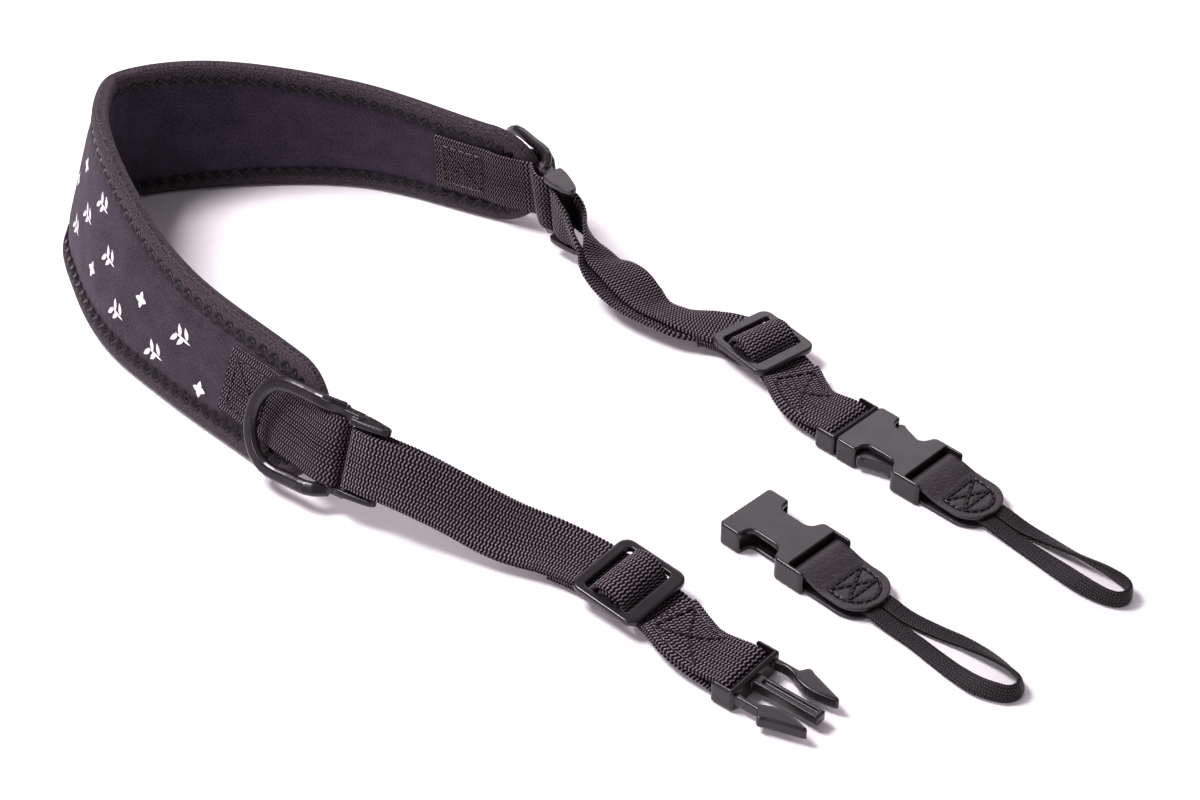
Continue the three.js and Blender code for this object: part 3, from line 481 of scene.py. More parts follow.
def printed_motifs():
    """Sprigs and stars in rows, kept clear of the binding and the tabs, in one mesh."""
    leaves = []
    for row in range(-MOTIF_ROWS, MOTIF_ROWS + 1):
        for step in range(int(PAD_LENGTH / MOTIF["pitch"]) + 2):
            s = (step + row % 2 / 2) * MOTIF["pitch"]
            if not MOTIF["from_end"] <= s <= PAD_LENGTH - MOTIF["from_end"]:
                continue
            h = pad_tall(s) / 2 + row * MOTIF["row"] + 2.0
            if min(rim_depth(s, up) for up in (h, h + 3)) < MOTIF["clear"]:
                continue
            if (step + row) % 3:
                leaves.append(leaf(s - 4.5, h - 1, 0.15, 9.0, MOTIF["wide"] * 0.5))
                for along, angle in ((-2.6, 60), (-0.6, -50), (1.2, 65), (2.8, -45)):
                    leaves.append(leaf(s + along, h, math.radians(angle), MOTIF["sprig"], MOTIF["wide"]))
            else:
                leaves += [leaf(s, h, math.pi / 2 * k, MOTIF["star"], MOTIF["wide"] * 1.1) for k in range(4)]
    s, h = np.moveaxis(np.array(leaves), -1, 0)
    points = pad_point(s, h, pad_swell(s, h, True) + MOTIF["lift"]).reshape(-1, 3)
    index = np.arange(s.size).reshape(s.shape)
    faces = np.stack([index[:, :-1, :-1], index[:, 1:, :-1], index[:, 1:, 1:], index[:, :-1, 1:]], axis=-1)
    mesh = bpy.data.meshes.new("printed_motifs")
    mesh.from_pydata((points * MM).tolist(), [], faces.reshape(-1, 4).tolist())
    mesh.shade_smooth()
    add_piece("printed_motifs", mesh, print_finish())


printed_motifs()

# ---- edge binding ----
# A tape of thick knit folded over the rim and gripped by a zigzag seam, which pulls it in at
# every needle hole. The tape runs all the way round, over both rounded ends.
BINDING = {"half": 2.75, "round": 2.6, "edge": 8.0, "scallop": 0.55, "puff": 0.28, "hole": 1.05}
POINTS_PER_STITCH = 11


def binding_outline():
    """Points round the rim: place in s and h, and the way inwards, an even step apart."""
    t = np.linspace(0, PAD_LENGTH, 600)
    turn = np.linspace(0, math.pi, 60)[1:-1]
    none, one = np.zeros_like(t), np.ones_like(t)
    low = np.column_stack([t, none, none, one])
    high = np.column_stack([t[::-1], pad_tall(t[::-1]), none, -one])

    def tip(s, way):
        half = pad_tall(s) / 2
        inward = np.column_stack([-way * np.sin(turn), way * np.cos(turn)])
        return np.column_stack([s - inward[:, 0] * PAD["tip"], half - inward[:, 1] * half, inward])

    outline = np.vstack([low, tip(PAD_LENGTH, 1), high, tip(0.0, -1)])
    closed = np.vstack([outline, outline[:1]])
    run = lengths_to(closed[:, :2])
    stitches = round(run[-1] / ZIGZAG["pitch"])
    count = stitches * POINTS_PER_STITCH
    wanted = np.arange(count) / count * run[-1]
    return read_at(wanted, run, closed), wanted / run[-1] * stitches * ZIGZAG["pitch"]


def binding_height(depth, run):
    """How far the tape stands out of the pad's middle at a depth from the rim, with the seam's creases."""
    rim = np.sqrt(np.clip(1 - (1 - np.clip(depth / BINDING["round"], 0, 1)) ** 2, 0, 1))
    puff = BINDING["puff"] * np.exp(-((depth - 3.4) / 1.8) ** 2)
    seam = np.exp(-((depth - zigzag_depth(run)) / ZIGZAG["breadth"]) ** 2)
    phase = (run / ZIGZAG["pitch"]) % 1
    hole = np.exp(-(((depth - ZIGZAG["middle"] + ZIGZAG["swing"]) / 1.3) ** 2 + ((phase - 0.5) * 4.2) ** 2))
    crease = ZIGZAG["crease"] * seam + BINDING["hole"] * hole
    return BINDING["half"] * rim + puff - crease * soft_step(depth, 3.2, 4.8)


def knit_finish():
    """Coarser knit than the jersey, with its wales running round the rim, and painted shade along the seam.
    """
    material, node, maths = new_finish(
        "binding_knit", 0.8, Sheen_Weight=0.08, Sheen_Roughness=0.45, Sheen_Tint=(0.8, 0.76, 0.8, 1),
        Specular_IOR_Level=0.12,
    )
    place, along, across = place_on_cloth(node)
    loops = knitted(maths, "ADD", across, 0.85, along, 0.5, 1.1)
    speck = noise(node, place, 1.6, 5, 0.8)
    tone = maths("ADD", maths("MULTIPLY", loops, 0.1), maths("MULTIPLY", speck, 0.9))
    # painted shade: the colour is darkened along the seam, where the creased tape lies in shadow
    painted_seam_shade = spread(node, maths("ABSOLUTE", across), 4.0, 5.6, 1.0, 0.35)
    share = maths("MULTIPLY", spread(node, tone, 0.4, 0.68), painted_seam_shade)
    two_tone(material, share, (0.003, 0.0024, 0.0028), (0.1, 0.08, 0.094))
    relief(material, maths("ADD", maths("MULTIPLY", loops, 0.3), speck), 0.7, 0.14)
    return material


def edge_binding():
    """Sweeps the tape's section round the rim, from its edge on one face to its edge on the other."""
    outline, run = binding_outline()
    s, h = outline[:, 0:1], outline[:, 1:2]
    inward = unit(outline[:, None, 2:4])
    edge = BINDING["edge"] + BINDING["scallop"] * np.cos((run / ZIGZAG["pitch"]) * math.tau)[:, None]
    share = np.append(np.linspace(0, 1, 20) ** 1.7, [1.0, 0.93])
    depth = edge * share[None]
    drop = np.zeros_like(depth)
    drop[:, -2] = 0.5
    drop[:, -1] = 0.8
    q = np.maximum(binding_height(depth, run[:, None]) - drop, 1.35 * soft_step(depth, -0.1, 1.2))

    def side(sign):
        return pad_point(s + inward[..., 0] * depth, h + inward[..., 1] * depth, q * sign)

    outer, inner = side(1), side(-1)
    rings = np.concatenate([outer[:, ::-1], inner[:, 1:]], axis=1)
    across = np.concatenate([-share[::-1], share[1:], [share[-1] * 1.1]]) * BINDING["edge"]
    total = run[-1] + run[1]
    mesh = swept_mesh("binding_tape", rings, np.append(run, total), across, endless=True)
    piece = add_piece("binding_tape", mesh, knit_finish())
    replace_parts(piece, "edge_binding")
    return outline, run


rim_outline, rim_run = edge_binding()

# ---- zigzag seam ----
# Shiny black nylon thread in two strands, from a needle hole in the tape down to one in the jersey
# and back, on both faces. One short thread is made once and set along every stretch of the seam.
THREAD = {"thick": 0.5, "bow": 0.12, "apart": 0.32, "trim": 0.02, "on_jersey": 2.02, "on_tape": 2.37}


def thread_finish():
    material, node = new_finish("nylon_thread", 0.22, Specular_IOR_Level=0.35)[:2]
    twist = noise(node, node("ShaderNodeTexCoord").outputs["Object"], 2200, 2)
    two_tone(material, twist, (0.001, 0.001, 0.001), (0.006, 0.005, 0.006))
    relief(material, twist, 0.5, 0.08)
    return material


def new_tree(name, numbers, material):
    """A geometry node tree with its sockets, the short calls for building it, and what it is given."""
    tree = bpy.data.node_groups.new(name, "GeometryNodeTree")
    kinds = {"Geometry": "Geometry", **dict.fromkeys(numbers, "Float"), material: "Material"}
    for socket, kind in kinds.items():
        tree.interface.new_socket(socket, in_out="INPUT", socket_type="NodeSocket" + kind)
    tree.interface.new_socket("Geometry", in_out="OUTPUT", socket_type="NodeSocketGeometry")
    node, maths = maker(tree)
    return tree, node, maths, node("NodeGroupInput").outputs


def named(node, name, data_type):
    return node("GeometryNodeInputNamedAttribute", data_type=data_type, sockets={"Name": name}).outputs[0]


def stitch_tree():
    """Sets a bowed thread on every point, from its run and face vectors."""
    tree, node, _, given = new_tree("stitches", ["Thickness", "Bow"], "Thread")
    run, face = (named(node, name, "FLOAT_VECTOR") for name in ("run", "face"))
    length = node("ShaderNodeVectorMath", (0, run), operation="LENGTH").outputs["Value"]
    arch = node("GeometryNodeCurveQuadraticBezier", sockets={
        "Resolution": 5, "Start": (-0.5, 0, -0.6), "Middle": (0, 0, 1.0), "End": (0.5, 0, -0.6),
    })
    profile = node("GeometryNodeCurvePrimitiveCircle", sockets={"Resolution": 6, "Radius": 0.5})
    bowed = node("ShaderNodeCombineXYZ", (2, given["Bow"]), sockets={0: 1.0, 1: 1.0})
    low_arch = node("GeometryNodeTransform", (0, arch.outputs[0]), ("Scale", bowed.outputs[0]))
    tube = node("GeometryNodeCurveToMesh", (0, low_arch.outputs[0]), (1, profile.outputs[0]), sockets={
        "Fill Caps": True,
    })
    # the tube is one long and one thick, and each copy is drawn out to its own stitch
    thick = given["Thickness"]
    reach = node("ShaderNodeCombineXYZ", (0, length), (1, thick), (2, thick))
    turn = node("FunctionNodeAxesToRotation", (0, run), (1, face), primary_axis="X", secondary_axis="Z")
    placed = node(
        "GeometryNodeInstanceOnPoints", (0, given["Geometry"]), ("Instance", tube.outputs[0]),
        ("Rotation", turn.outputs[0]), ("Scale", reach.outputs[0]),
    )
    real = node("GeometryNodeRealizeInstances", (0, placed.outputs[0]))
    smooth = node("GeometryNodeSetShadeSmooth", (0, real.outputs[0]))
    painted = node("GeometryNodeSetMaterial", (0, smooth.outputs[0]), ("Material", given["Thread"]))
    node("NodeGroupOutput", (0, painted.outputs[0]))
    return tree


def finished(holder):
    """The plain mesh that an object's modifiers make; the object itself goes."""
    depsgraph = bpy.context.evaluated_depsgraph_get()
    mesh = bpy.data.meshes.new_from_object(holder.evaluated_get(depsgraph))
    bpy.data.objects.remove(holder)
    return mesh


def applied(name, mesh, tree, values):
    """The plain mesh that a node tree makes from another."""
    holder = linked(name, mesh)
    modifier = holder.modifiers.new(tree.name, "NODES")
    modifier.node_group = tree
    for item in tree.interface.items_tree:
        if item.in_out == "INPUT" and item.name in values:
            modifier[item.identifier] = values[item.name]
    return finished(holder)


def stitched(name, starts, ends, faces, thickness, slot):
    """A piece of threads from starts to ends, in millimetres, lying on surfaces that face the given ways."""
    middles = (starts + ends) / 2
    mesh = bpy.data.meshes.new(name)
    mesh.from_pydata((middles * MM).tolist(), [], [])
    for key, vectors in (("run", (ends - starts) * MM), ("face", faces)):
        mesh.attributes.new(key, "FLOAT_VECTOR", "POINT").data.foreach_set("vector", vectors.ravel())
    threads = applied(name, mesh, STITCHES, {
        "Thickness": thickness * MM, "Bow": THREAD["bow"], "Thread": NYLON,
    })
    add_piece(name, threads, None)


STITCHES = stitch_tree()
NYLON = thread_finish()


def zigzag_seam():
    """Two strands side by side along every stretch of the seam, on both faces."""
    pitch = ZIGZAG["pitch"]
    around = rim_run[-1] + rim_run[1]
    half = np.arange(2 * round(around / pitch)) * pitch / 2
    table = np.vstack([rim_outline, rim_outline[:1]])
    runs = np.append(rim_run, around)

    def hole(at, shift):
        row = read_at((at + shift) % around, runs, table)
        depth = zigzag_depth(at)
        s, h = (row[:, :2] + unit(row[:, 2:4]) * depth[:, None]).T
        level = np.where(depth > BINDING["edge"], THREAD["on_jersey"], THREAD["on_tape"])
        return s, h, level

    starts, ends, faces = [], [], []
    for sign in (1, -1):
        for shift in (-THREAD["apart"], THREAD["apart"]):
            for at, spots in ((half + THREAD["trim"], starts), (half + pitch / 2 - THREAD["trim"], ends)):
                s, h, level = hole(at, shift)
                spots.append(pad_point(s, h, level * sign))
            faces.append(unit(pad_point(s, h, (level + 1) * sign) - ends[-1]))
    starts, ends, faces = (np.vstack(part) for part in (starts, ends, faces))
    stitched("zigzag_seam", starts, ends, faces, THREAD["thick"], "binding_knit")


zigzag_seam()

# ---- webbing tabs ----
# A band of coarse webbing at each end of the pad, sewn to both faces and folded round the
# ring's middle bar. Its weave stands up in short staggered ribs.
TAB = {"width": 23.6, "thick": 1.4, "box": 16.5}
RING = {"bar_radius": 2.0, "wedge_at": 9.2}
GAP = 0.3
FRONT_ROWS = [
    (-69.4, -46.5, 21.1, 24.5), (-60.8, -52.5, 21.3, 24.5), (-54.9, -56.4, 21.3, 25.5),
    (-46, -60.8, 20.2, 33), (-34, -65.5, 16.6, 44), (-14.5, -73.5, 10, 60), (1.5, -79, 7.2, 76),
    (14.3, -86.2, 5.7, 84), (25.1, -96, 4.9, 85), (35.7, -105.9, 4.1, 86), (45.2, -120.9, 3, 90),
    (58.2, -131.8, 2.65, 90),
]
BACK_RING = [(-3.3, 98.2, 21.4, 6), (2.6, 89.8, 21.1, 6)]
BACK_SLIDER = [
    (55.5, 40.4, 5, 83), (64.6, 36.4, 4.9, 88), (72.8, 27, 4.7, 89), (80.6, 16.6, 4.1, 90),
    (87.4, -2.2, 3, 90), (98.2, -12.9, 2.65, 90),
]
BACK_INNER_ROWS = BACK_RING + [
    (6.4, 83.4, 19.6, 12), (10, 76.3, 15.6, 30), (13.6, 70.4, 11.2, 50), (19, 63.5, 8.6, 66),
    (26, 56, 6.6, 72), (33, 49.8, 5.4, 70), (39.5, 45.3, 5, 70), (46.5, 41.8, 5, 76),
] + BACK_SLIDER
BACK_OUTER_ROWS = BACK_RING + [
    (9.2, 82.6, 15.9, 31), (13.2, 77.9, 13.3, 46), (16.8, 72.2, 10.9, 61), (21.6, 67.3, 10.6, 73),
    (26.3, 62, 9.3, 79), (30.6, 57.1, 6.9, 76), (35, 52.5, 4.6, 69), (41.3, 48, 4.3, 69),
    (47.6, 43.9, 4.7, 75),
] + BACK_SLIDER
TAB_FOLLOWS = [-32, -19, -6, 7, 16, 21]
WEBBING_STEP, SAME_SPOT = 0.31, 0.05
TAB_WEAVE = {"Pitch": 1.12, "Column": 1.15, "Stagger": 0.25, "Depth": 0.36, "Groove": 0.45}


class Band:
    """A strap's middle line: s along it, q out of its face, w across it. Side says which way it faces."""

    def __init__(self, rows, side):
        self.line = smooth_line(rows, 2, 3)
        self.row_count = len(rows)
        self.side = side

    def frame_at(self, s):
        place, way = place_and_way(self.line, s, True)
        face, across = leaning_frame(way, column_at(self.line, s, 3), self.side)
        return place + CENTRE, way, face, across

    def point(self, s, q, w):
        s, q, w = np.broadcast_arrays(s, q, w)
        place, _, face, across = self.frame_at(s)
        return place + face * q[..., None] + across * w[..., None]

    def at_row(self, row):
        return self.line[1][row * LINE_STEPS]

    def slider_at(self):
        """The slider sits at the fourth row from the end."""
        return self.at_row(self.row_count - 4)


def around_bar(s, q, radius, start, end, tallness=1.0):
    """Part of a turn round a bar, between two angles in degrees."""
    angles = np.radians(np.linspace(start, end, 7))
    return [(s + radius * math.cos(a), q + radius * tallness * math.sin(a)) for a in angles]


def rib_tree():
    """Raises ribs on a woven band, staggered from one column of the weave to the next."""
    tree, node, maths, given = new_tree("woven_ribs", TAB_WEAVE, "Cloth")
    along, over = (named(node, name, "FLOAT") for name in ("along", "over"))
    swing = maths("SINE", maths("MULTIPLY", maths("DIVIDE", over, given["Column"]), math.pi))
    shift = maths("MULTIPLY", swing, given["Stagger"])
    phase = maths("MULTIPLY", maths("ADD", maths("DIVIDE", along, given["Pitch"]), shift), math.tau)
    rib = maths("POWER", maths("MULTIPLY_ADD", maths("COSINE", phase), 0.5, 0.5), 0.7)
    level = maths("SUBTRACT", 1.0, given["Groove"])
    crest = maths("MULTIPLY", rib, maths("MULTIPLY_ADD", maths("ABSOLUTE", swing), given["Groove"], level))
    rough = node("ShaderNodeTexNoise", sockets={"Scale": 900.0, "Detail": 2.0})
    uneven = maths("MULTIPLY_ADD", rough.outputs[0], 0.5, 0.75)
    rise = maths("MULTIPLY", maths("SUBTRACT", maths("MULTIPLY", crest, uneven), 0.5), given["Depth"])
    normal = node("GeometryNodeInputNormal").outputs[0]
    offset = node("ShaderNodeVectorMath", (0, normal), ("Scale", rise), operation="SCALE").outputs[0]
    # the crest is kept on the points for the webbing's painted highlight
    stored = node(
        "GeometryNodeStoreNamedAttribute", (0, given["Geometry"]), ("Value", crest),
        data_type="FLOAT", domain="POINT", sockets={"Name": "crest"},
    )
    moved = node("GeometryNodeSetPosition", (0, stored.outputs[0]), ("Offset", offset))
    real = node("GeometryNodeRealizeInstances", (0, moved.outputs[0]))
    painted = node("GeometryNodeSetMaterial", (0, real.outputs[0]), ("Material", given["Cloth"]))
    node("NodeGroupOutput", (0, painted.outputs[0]))
    return tree


def webbing_finish(name, dark, light):
    """Black webbing with painted highlights: the crests of its ribs are coloured light in streaks of fibre,
    and are more specular there.
    """
    material, node, maths = new_finish(name, 0.4)
    place = node("ShaderNodeUVMap").outputs[0]
    crest = node("ShaderNodeAttribute", attribute_name="crest").outputs["Fac"]
    stretched = node("ShaderNodeMapping", (0, place), sockets={"Scale": (1.4, 5.5, 1.0)})
    fibres = noise(node, stretched.outputs[0], 1.6, 4, 0.8)
    painted_glint_fibres = maths("MULTIPLY_ADD", spread(node, fibres, 0.45, 0.62), 0.75, 0.25)
    # painted highlight: the crests of the ribs take the light colour, brightest on streaks of fibre
    share = maths("MULTIPLY", maths("POWER", crest, 4.5), painted_glint_fibres)
    two_tone(material, share, dark, light)
    wire(material, "Specular IOR Level", maths("MULTIPLY", share, 0.8))
    relief(material, fibres, 0.6, 0.14)
    return material


def woven_band(name, stretches, size, weave, cloth):
    """A band of webbing along stretches of route, with its weave raised on it."""
    bands, routes = zip(*stretches)
    spots = [spaced(*smooth_line(route, 2, 2), WEBBING_STEP) for route in routes]
    owner = np.repeat(np.arange(len(spots)), [len(part) for part in spots])
    flat = np.vstack(spots)
    keep = np.append(True, np.linalg.norm(np.diff(flat, axis=0), axis=1) > SAME_SPOT)
    flat, owner = flat[keep], owner[keep]
    run = lengths_to(flat)
    way = unit(np.gradient(flat, axis=0))
    normal = np.stack([-way[:, 1], way[:, 0]], axis=-1)
    half = size["width"] / 2
    over = np.linspace(-half, half, round(size["width"] / weave["Column"]) * 2 + 1)[1:-1]
    # the section goes over one face, round an edge with a selvedge, and back over the other face
    selvedge = [(half - 0.05, 0.75), (half + 0.12, 0.3), (half + 0.12, -0.3), (half - 0.05, -0.75)]
    section = [(w, 1.0) for w in over] + selvedge + [(w, -1.0) for w in over[::-1]]
    section += [(-w, q) for w, q in selvedge[::-1]]
    w, lift = np.array(section).T
    lift = lift * size["thick"] / 2
    s = flat[:, 0:1] + normal[:, 0:1] * lift
    q = flat[:, 1:2] + normal[:, 1:2] * lift
    w = np.broadcast_to(w, s.shape)
    rings = np.empty(s.shape + (3,))
    for number, band in enumerate(bands):
        mine = owner == number
        rings[mine] = band.point(s[mine], q[mine], w[mine])
    mesh = swept_mesh(name, rings, run, np.append(w[0], w[0, 0]))
    for key, values in (("along", np.broadcast_to(run[:, None], s.shape)), ("over", w)):
        mesh.attributes.new(key, "FLOAT", "POINT").data.foreach_set("value", np.ravel(values))
    woven = applied(name, mesh, RIBS, {**weave, "Depth": weave["Depth"] * MM, "Cloth": cloth})
    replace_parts(add_piece(name, woven, None), name.replace("woven_", ""))


RIBS = rib_tree()
# the thick thread of the boxes: pitches in webbing and leather, and the part of each that shows
STITCH = {"thick": 0.85, "webbing": 3.5, "leather": 2.9, "from": 0.18, "to": 0.82, "sunk": 0.02}
# the second colour is the painted highlight on the crests of the ribs
tab_cloth = webbing_finish("tab_webbing", (0.0025, 0.002, 0.0025), (0.92, 0.76, 0.87))


def tab_route(tip, bar):
    """From the pad's outer face over its binding, round the ring's bar, and on to the inner face."""
    on_foam = PAD["foam"] / 2 + PAD["clear"] + TAB["thick"] / 2
    on_binding = on_foam + PAD["cover"] + 1.5 * GAP
    turn = RING["bar_radius"] + 2 * GAP + TAB["thick"] / 2
    climb = tip - 2 * PAD["margin"]
    return [
        (tip - 47.5, on_foam), (tip - 34, on_foam), (climb - 8, on_foam), (climb - 1, on_binding),
        (tip - 8, on_binding), (tip - 0.5, on_binding + 0.5), *around_bar(bar, 0, turn, 85, -85),
        (tip - 1, -on_binding), (tip - 8, -on_binding), (climb - 1, -on_binding), (climb - 8, -on_foam),
        (tip - 32, -on_foam), (tip - 43.5, -on_foam),
    ]


def tab_band(rows, front):
    """The tab's line follows the middle of the pad and runs on into the first rows of the strap."""
    on_pad = []
    for past in TAB_FOLLOWS:
        s = -past if front else PAD_LENGTH + past
        on_pad.append((*pad_point(s, pad_tall(s) / 2, 0.0) - CENTRE, column_at(pad_line, s, 2)))
    band = Band([*on_pad, rows[0], rows[1]], -1 if front else 1)
    bar = band.at_row(len(on_pad))
    tip = band.at_row(len(on_pad) - 1) + PAD["tip"] - TAB_FOLLOWS[-1]
    return band, tip, bar


def dashes(corners, pitch):
    """Starts and ends of stitches along straight runs between corners."""
    corners = np.array(corners, float)
    starts, ends = [], []
    for a, b in zip(corners, corners[1:]):
        count = max(1, round(np.linalg.norm(b - a) / pitch))
        step = np.arange(count)[:, None]
        starts.append(a + (b - a) * (step + STITCH["from"]) / count)
        ends.append(a + (b - a) * (step + STITCH["to"]) / count)
    return np.vstack(starts), np.vstack(ends)


def sewn_box(name, band, s0, s1, half, q, slot):
    """A stitched box with a cross in it, on a band's face at distance q from its middle."""
    a, b, c, d = (s0, -half), (s1, -half), (s1, half), (s0, half)
    starts, ends = dashes([a, b, c, d, a, c, b, d], STITCH["webbing"])
    spots = [band.point(flat[:, 0], q, flat[:, 1]) for flat in (starts, ends)]
    beyond = band.point(starts[:, 0], q + math.copysign(1.0, q), starts[:, 1])
    stitched(name, spots[0], spots[1], unit(beyond - spots[0]), STITCH["thick"], slot)


for end, rows in (("front", FRONT_ROWS), ("back", BACK_INNER_ROWS)):
    band, tip, bar = tab_band(rows, end == "front")
    stretches = [(band, tab_route(tip, bar))]
    woven_band(f"woven_tab_webbing_{end}", stretches, TAB, TAB_WEAVE, tab_cloth)
    surface = PAD["foam"] / 2 + PAD["clear"] + TAB["thick"] + 0.1
    for face, far, q in (("outer", tip - 44.5, surface), ("inner", tip - 40.5, -surface)):
        sewn_box(f"tab_stitches_{face}_{end}", band, far, far + TAB["box"], 8.5, q, "tab_webbing")

# ---- strap webbing ----
# Each strap is one band of 20 mm nylon webbing. It is sewn round the slider's middle bar, runs to
# the ring and back as a second layer, over the slider, round the buckle's bar and back on itself.
STRAP = {"width": 20.0, "thick": 1.4}
SLIDER = {"length": 27.0, "tail": 4.0}
LAYER = STRAP["thick"] + GAP
BAR_HEIGHT = 4.35
BUCKLE_BAR = 1.6
STRAP_WEAVE = {"Pitch": 1.2, "Column": 1.1, "Stagger": 0.17, "Depth": 0.42, "Groove": 0.3}
FRONT_SPREAD = [(5, 3.3), (11, 2.8), (22, 2.6), (36, 2.1), (52, 1.3), (66, 0.9)]
BACK_SPREAD = [(5, 3.5), (12, 2.6), (19, 1.5), (27, 0.9), (45, 0.85), (66, 0.85)]


def sewn_loop(s):
    """The strap's sewn end, under itself and round the slider's middle bar."""
    return [
        (s - 27, -1.5 * LAYER), (s - 16, -1.5 * LAYER), (s - 7, -1.5 * LAYER), (s - 3, -2.2), (s + 0.7, -0.9),
        (s + 2.8, 1.2), *around_bar(s, 3.45, 3.25, 0, 180, 0.84),
        (s - 4.4, 1.3), (s - 6.6, -0.2), (s - 9.5, -0.5 * LAYER), (s - 14, -0.5 * LAYER),
    ]


def over_hump(s):
    """Over the slider's middle bar and the loop that is sewn round it."""
    return [
        (s - 14, 0.5 * LAYER), (s - 10.5, 0.5 * LAYER), (s - 8.2, 1.5), (s - 6.3, 3.9), (s - 4.4, 6.6),
        (s, 8.1), (s + 4.4, 6.6), (s + 6, 3.9), (s + 7.2, 1.6), (s + 9, 0.5), (s + 14, 0.4),
    ]


def around_buckle(s, raw_end):
    """Round the connector's bar and back on top to the raw end."""
    turn = BUCKLE_BAR + GAP + STRAP["thick"] / 2
    return [
        (s - 18, 0.5 * LAYER), (s - 9, 0.2), *around_bar(s, BAR_HEIGHT - 2.65, turn, -90, 90),
        (s - 7, 3.4), (s - 14, 1.5 * LAYER), (s - 22, 1.5 * LAYER), (raw_end, 1.5 * LAYER),
    ]


def past_slider(band):
    """Where the raw end of the strap lies, a little beyond the slider."""
    return band.slider_at() + SLIDER["length"] / 2 + SLIDER["tail"]


def strap_stretches(inner, outer, spacing):
    """The inner layer from the slider to the ring, and the outer one back and round the buckle."""
    wedge = RING["wedge_at"]
    turn = RING["bar_radius"] + GAP + STRAP["thick"] / 2
    return [
        (inner, [
            *sewn_loop(inner.slider_at()), *[(wedge + past, -q) for past, q in spacing[::-1]],
            *around_bar(wedge, 0, turn, -90, -180),
        ]),
        (outer, [
            *around_bar(wedge, 0, turn, 180, 90), *[(wedge + past, q) for past, q in spacing],
            *over_hump(outer.slider_at()), *around_buckle(outer.line[1][-1], past_slider(outer)),
        ]),
    ]


# the second colour is the painted highlight on the crests of the ribs
strap_cloth = webbing_finish("strap_webbing", (0.0025, 0.002, 0.0025), (0.93, 0.79, 0.89))
STRAPS = {
    "front": (Band(FRONT_ROWS, -1), Band(FRONT_ROWS, -1), FRONT_SPREAD),
    "back": (Band(BACK_INNER_ROWS, 1), Band(BACK_OUTER_ROWS, 1), BACK_SPREAD),
}
for end, (inner, outer, spacing) in STRAPS.items():
    woven_band(
        f"woven_strap_webbing_{end}", strap_stretches(inner, outer, spacing), STRAP, STRAP_WEAVE, strap_cloth,
    )
    sewn_box(
        f"strap_stitches_{end}", outer, past_slider(outer) + 2.5, outer.line[1][-1] - 11, 7.5,
        1.5 * LAYER + STRAP["thick"] / 2 + 0.25, "strap_webbing",
    )

# ---- rings, sliders and buckles ----
# Injection-moulded acetal with a satin spark-etched face and softly rounded edges.
# The shapes are the solid parts, with their sharp edges eased all over.
def moulded_finish():
    material, node = new_finish("acetal", 0.22, Specular_IOR_Level=0.42)[:2]
    place = node("ShaderNodeTexCoord").outputs["Object"]
    cloudy = noise(node, place, 160, 3)
    wire(material, "Roughness", spread(node, cloudy, 0.3, 0.7, 0.2, 0.28))
    two_tone(material, cloudy, (0.008, 0.0062, 0.0076), (0.013, 0.0102, 0.0124))
    relief(material, noise(node, place, 5200, 2), 0.2, 0.025)
    return material


def eased(name, turn, voxel, rounds, material):
    """A CAD node's shape with its edges rounded, worked on in the part's own straight frame."""
    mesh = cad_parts[name].data.copy()
    mesh.transform(turn.inverted())
    shape = bmesh.new()
    shape.from_mesh(mesh)
    bmesh.ops.remove_doubles(shape, verts=shape.verts, dist=1e-6)
    shape.to_mesh(mesh)
    shape.free()
    holder = linked(name, mesh)
    remesh = holder.modifiers.new("even", "REMESH")
    remesh.mode = "VOXEL"
    remesh.voxel_size = voxel * MM
    ease = holder.modifiers.new("ease", "SMOOTH")
    ease.factor = 0.5
    ease.iterations = rounds
    smooth = finished(holder)
    smooth.transform(turn)
    smooth.shade_smooth()
    piece = add_piece(f"moulded_{name}", smooth, material)
    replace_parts(piece, name)
    return piece


def band_turn(band, s):
    """The turn that takes a part whose x runs along a band and z out of its face to its place."""
    place, way, face = band.frame_at(np.float64(s))[:3]
    turn = Matrix(np.stack([way, np.cross(face, way), face], axis=1).tolist()).to_4x4()
    turn.translation = Vector(place * MM)
    return turn


acetal = moulded_finish()
for end, (_, outer, _) in STRAPS.items():
    eased(f"ring_{end}", band_turn(outer, 0), 0.24, 9, acetal)
    eased(f"slider_{end}", band_turn(outer, outer.slider_at()), 0.24, 5, acetal)

BACK_YAW, LOOSE_YAW = CONNECTORS["back"]["yaw"], CONNECTORS["loose"]["yaw"]
for name, yaw in (
    ("male_buckle_front", -40), ("male_buckle_back", BACK_YAW),
    ("female_buckle_back", BACK_YAW), ("female_buckle_loose", LOOSE_YAW),
):
    eased(name, Matrix.Rotation(math.radians(yaw), 4, "Z"), 0.27, 4, acetal)

# ---- leather tabs ----
# A strip of black grained leather folded round the connector's bar, its two rounded ends glued
# and sewn over the ends of the cord.
def leather_finish():
    material, node, maths = new_finish("black_leather", 0.42, Specular_IOR_Level=0.4)
    place = node("ShaderNodeTexCoord").outputs["Object"]
    grain = node("ShaderNodeTexVoronoi", ("Vector", place), feature="SMOOTH_F1", sockets={"Scale": 1000})
    pores = noise(node, place, 2600, 4)
    tone = maths("MULTIPLY", pores, maths("ADD", noise(node, place, 220, 3), 0.4))
    two_tone(material, tone, (0.003, 0.0024, 0.003), (0.036, 0.029, 0.035))
    relief(material, maths("ADD", grain.outputs[0], maths("MULTIPLY", pores, 0.5)), 0.7, 0.2)
    return material


LEATHER = {"end": 58.5, "half": 10.5, "inset": 2.7, "front": 43.5, "box": 51.0}
PULL = {"deep": 0.45, "breadth": 0.8, "reach": 2}


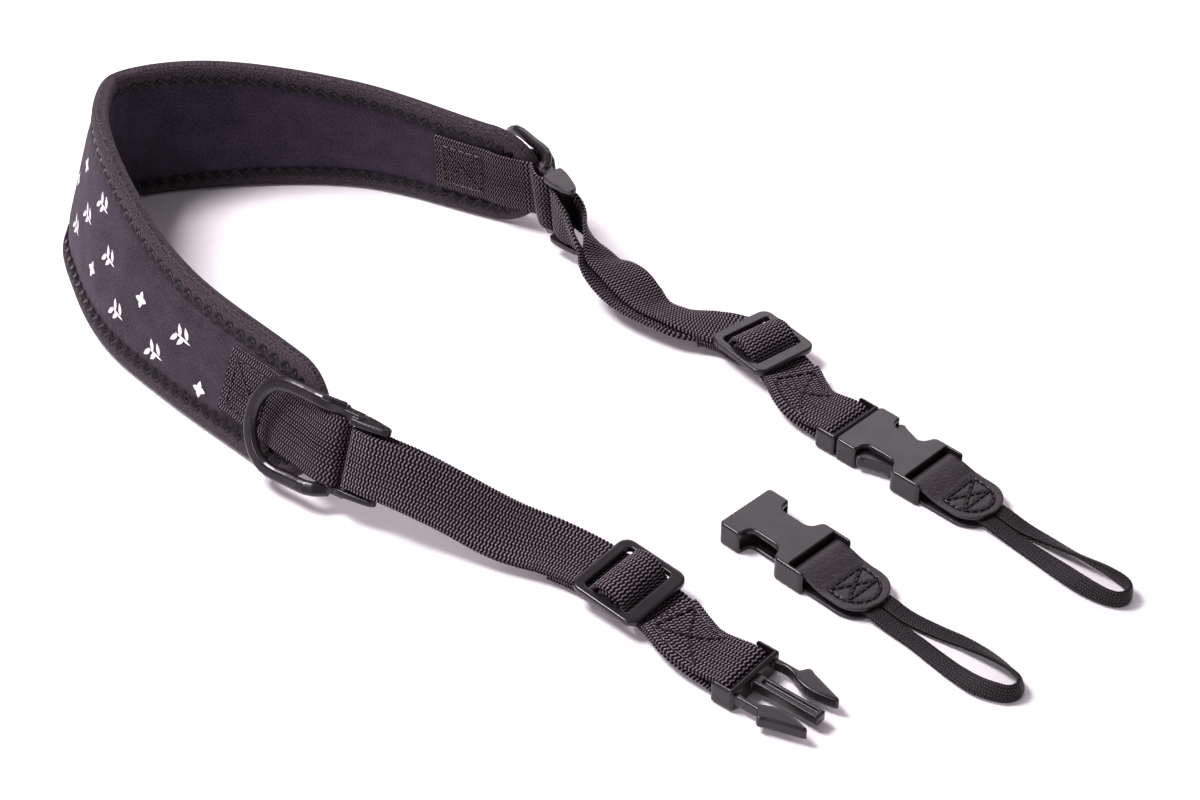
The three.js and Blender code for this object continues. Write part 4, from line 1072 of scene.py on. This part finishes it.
def sew_leather(name, connector, tab):
    """A row of stitches round the end of the leather and a crossed box inside it, each pulled in a little."""
    half = LEATHER["half"] - LEATHER["inset"]
    centre = LEATHER["end"] - LEATHER["inset"] - half
    turn = np.linspace(-math.pi / 2, math.pi / 2, 10)
    arc = [(centre + half * math.cos(a), half * math.sin(a)) for a in turn]
    border = dashes([(LEATHER["front"], -half), *arc, (LEATHER["front"], half)], STITCH["leather"])
    inner = dashes([
        (LEATHER["front"], half), (LEATHER["front"], -half), (LEATHER["box"], half - 1.2),
        (LEATHER["box"], 1.2 - half), (LEATHER["front"], half),
    ], STITCH["leather"])
    starts, ends = np.vstack([border[0], inner[0]]), np.vstack([border[1], inner[1]])
    tree = BVHTree.FromObject(tab, bpy.context.evaluated_depsgraph_get())

    def dropped(flat):
        above = in_place(np.column_stack([flat, np.full(len(flat), 20.0)]), connector) * MM
        return np.array([tree.ray_cast(Vector(spot), Vector((0, 0, -1)))[0] for spot in above]) / MM

    tops = dropped(starts), dropped(ends)
    holes = np.vstack(tops) * MM
    near = KDTree(len(holes))
    for i, hole in enumerate(holes):
        near.insert(hole, i)
    near.balance()
    for vertex in tab.data.vertices:
        distance = near.find(vertex.co)[2] / MM
        if distance < PULL["reach"]:
            vertex.co.z -= PULL["deep"] * MM * math.exp(-((distance / PULL["breadth"]) ** 2))
    tab.data.update()
    sunk = [top - (0, 0, STITCH["sunk"]) for top in tops]
    up = np.tile([0.0, 0.0, 1.0], (len(starts), 1))
    stitched(f"leather_stitches_{name}", *sunk, up, STITCH["thick"], "leather")


hide = leather_finish()
for name, connector in CONNECTORS.items():
    turn = Matrix.Rotation(math.radians(connector["yaw"]), 4, "Z")
    tab = eased(f"leather_tab_{name}", turn, 0.26, 5, hide)
    sew_leather(name, connector, tab)

# ---- floor and lights ----
# A plain white floor under large soft lights: a strong one above the left end, a broad one behind
# and a weak one in front. All of the light is a little pink.
floor_mesh = bpy.data.meshes.new("floor")
floor_mesh.from_pydata([(-4, -4, 0), (4, -4, 0), (4, 4, 0), (-4, 4, 0)], [], [(0, 1, 2, 3)])
floor_mesh.materials.append(new_finish("white_floor", 0.7, Base_Color=(0.9, 0.9, 0.9, 1))[0])
linked("floor", floor_mesh)

world = bpy.data.worlds.new("studio")
bpy.context.scene.world = world
world.use_nodes = True
sky = world.node_tree.nodes["Background"].inputs
sky["Color"].default_value = (1, 0.88, 0.975, 1)
sky["Strength"].default_value = 0.32


def soft_light(name, place, aim, size, power):
    """A rectangular lamp at a place, turned to its aim."""
    lamp = bpy.data.lights.new(name, "AREA")
    lamp.shape = "RECTANGLE"
    lamp.size, lamp.size_y = size
    lamp.energy = power
    lamp.color = (1.0, 0.92, 0.98)
    light = linked(name, lamp)
    light.location = place
    light.rotation_euler = (Vector(aim) - Vector(place)).to_track_quat("-Z", "Y").to_euler()


soft_light("key", (-0.5, 0.08, 0.95), (0, 0, 0), (0.34, 0.34), 15)
soft_light("behind", (0.1, 1.05, 0.85), (0.05, 0, 0), (1.5, 0.55), 6)
soft_light("front", (-0.75, -0.8, 0.55), (0, 0, 0), (0.4, 0.4), 4)
bpy.context.scene.view_settings.view_transform = "Standard"
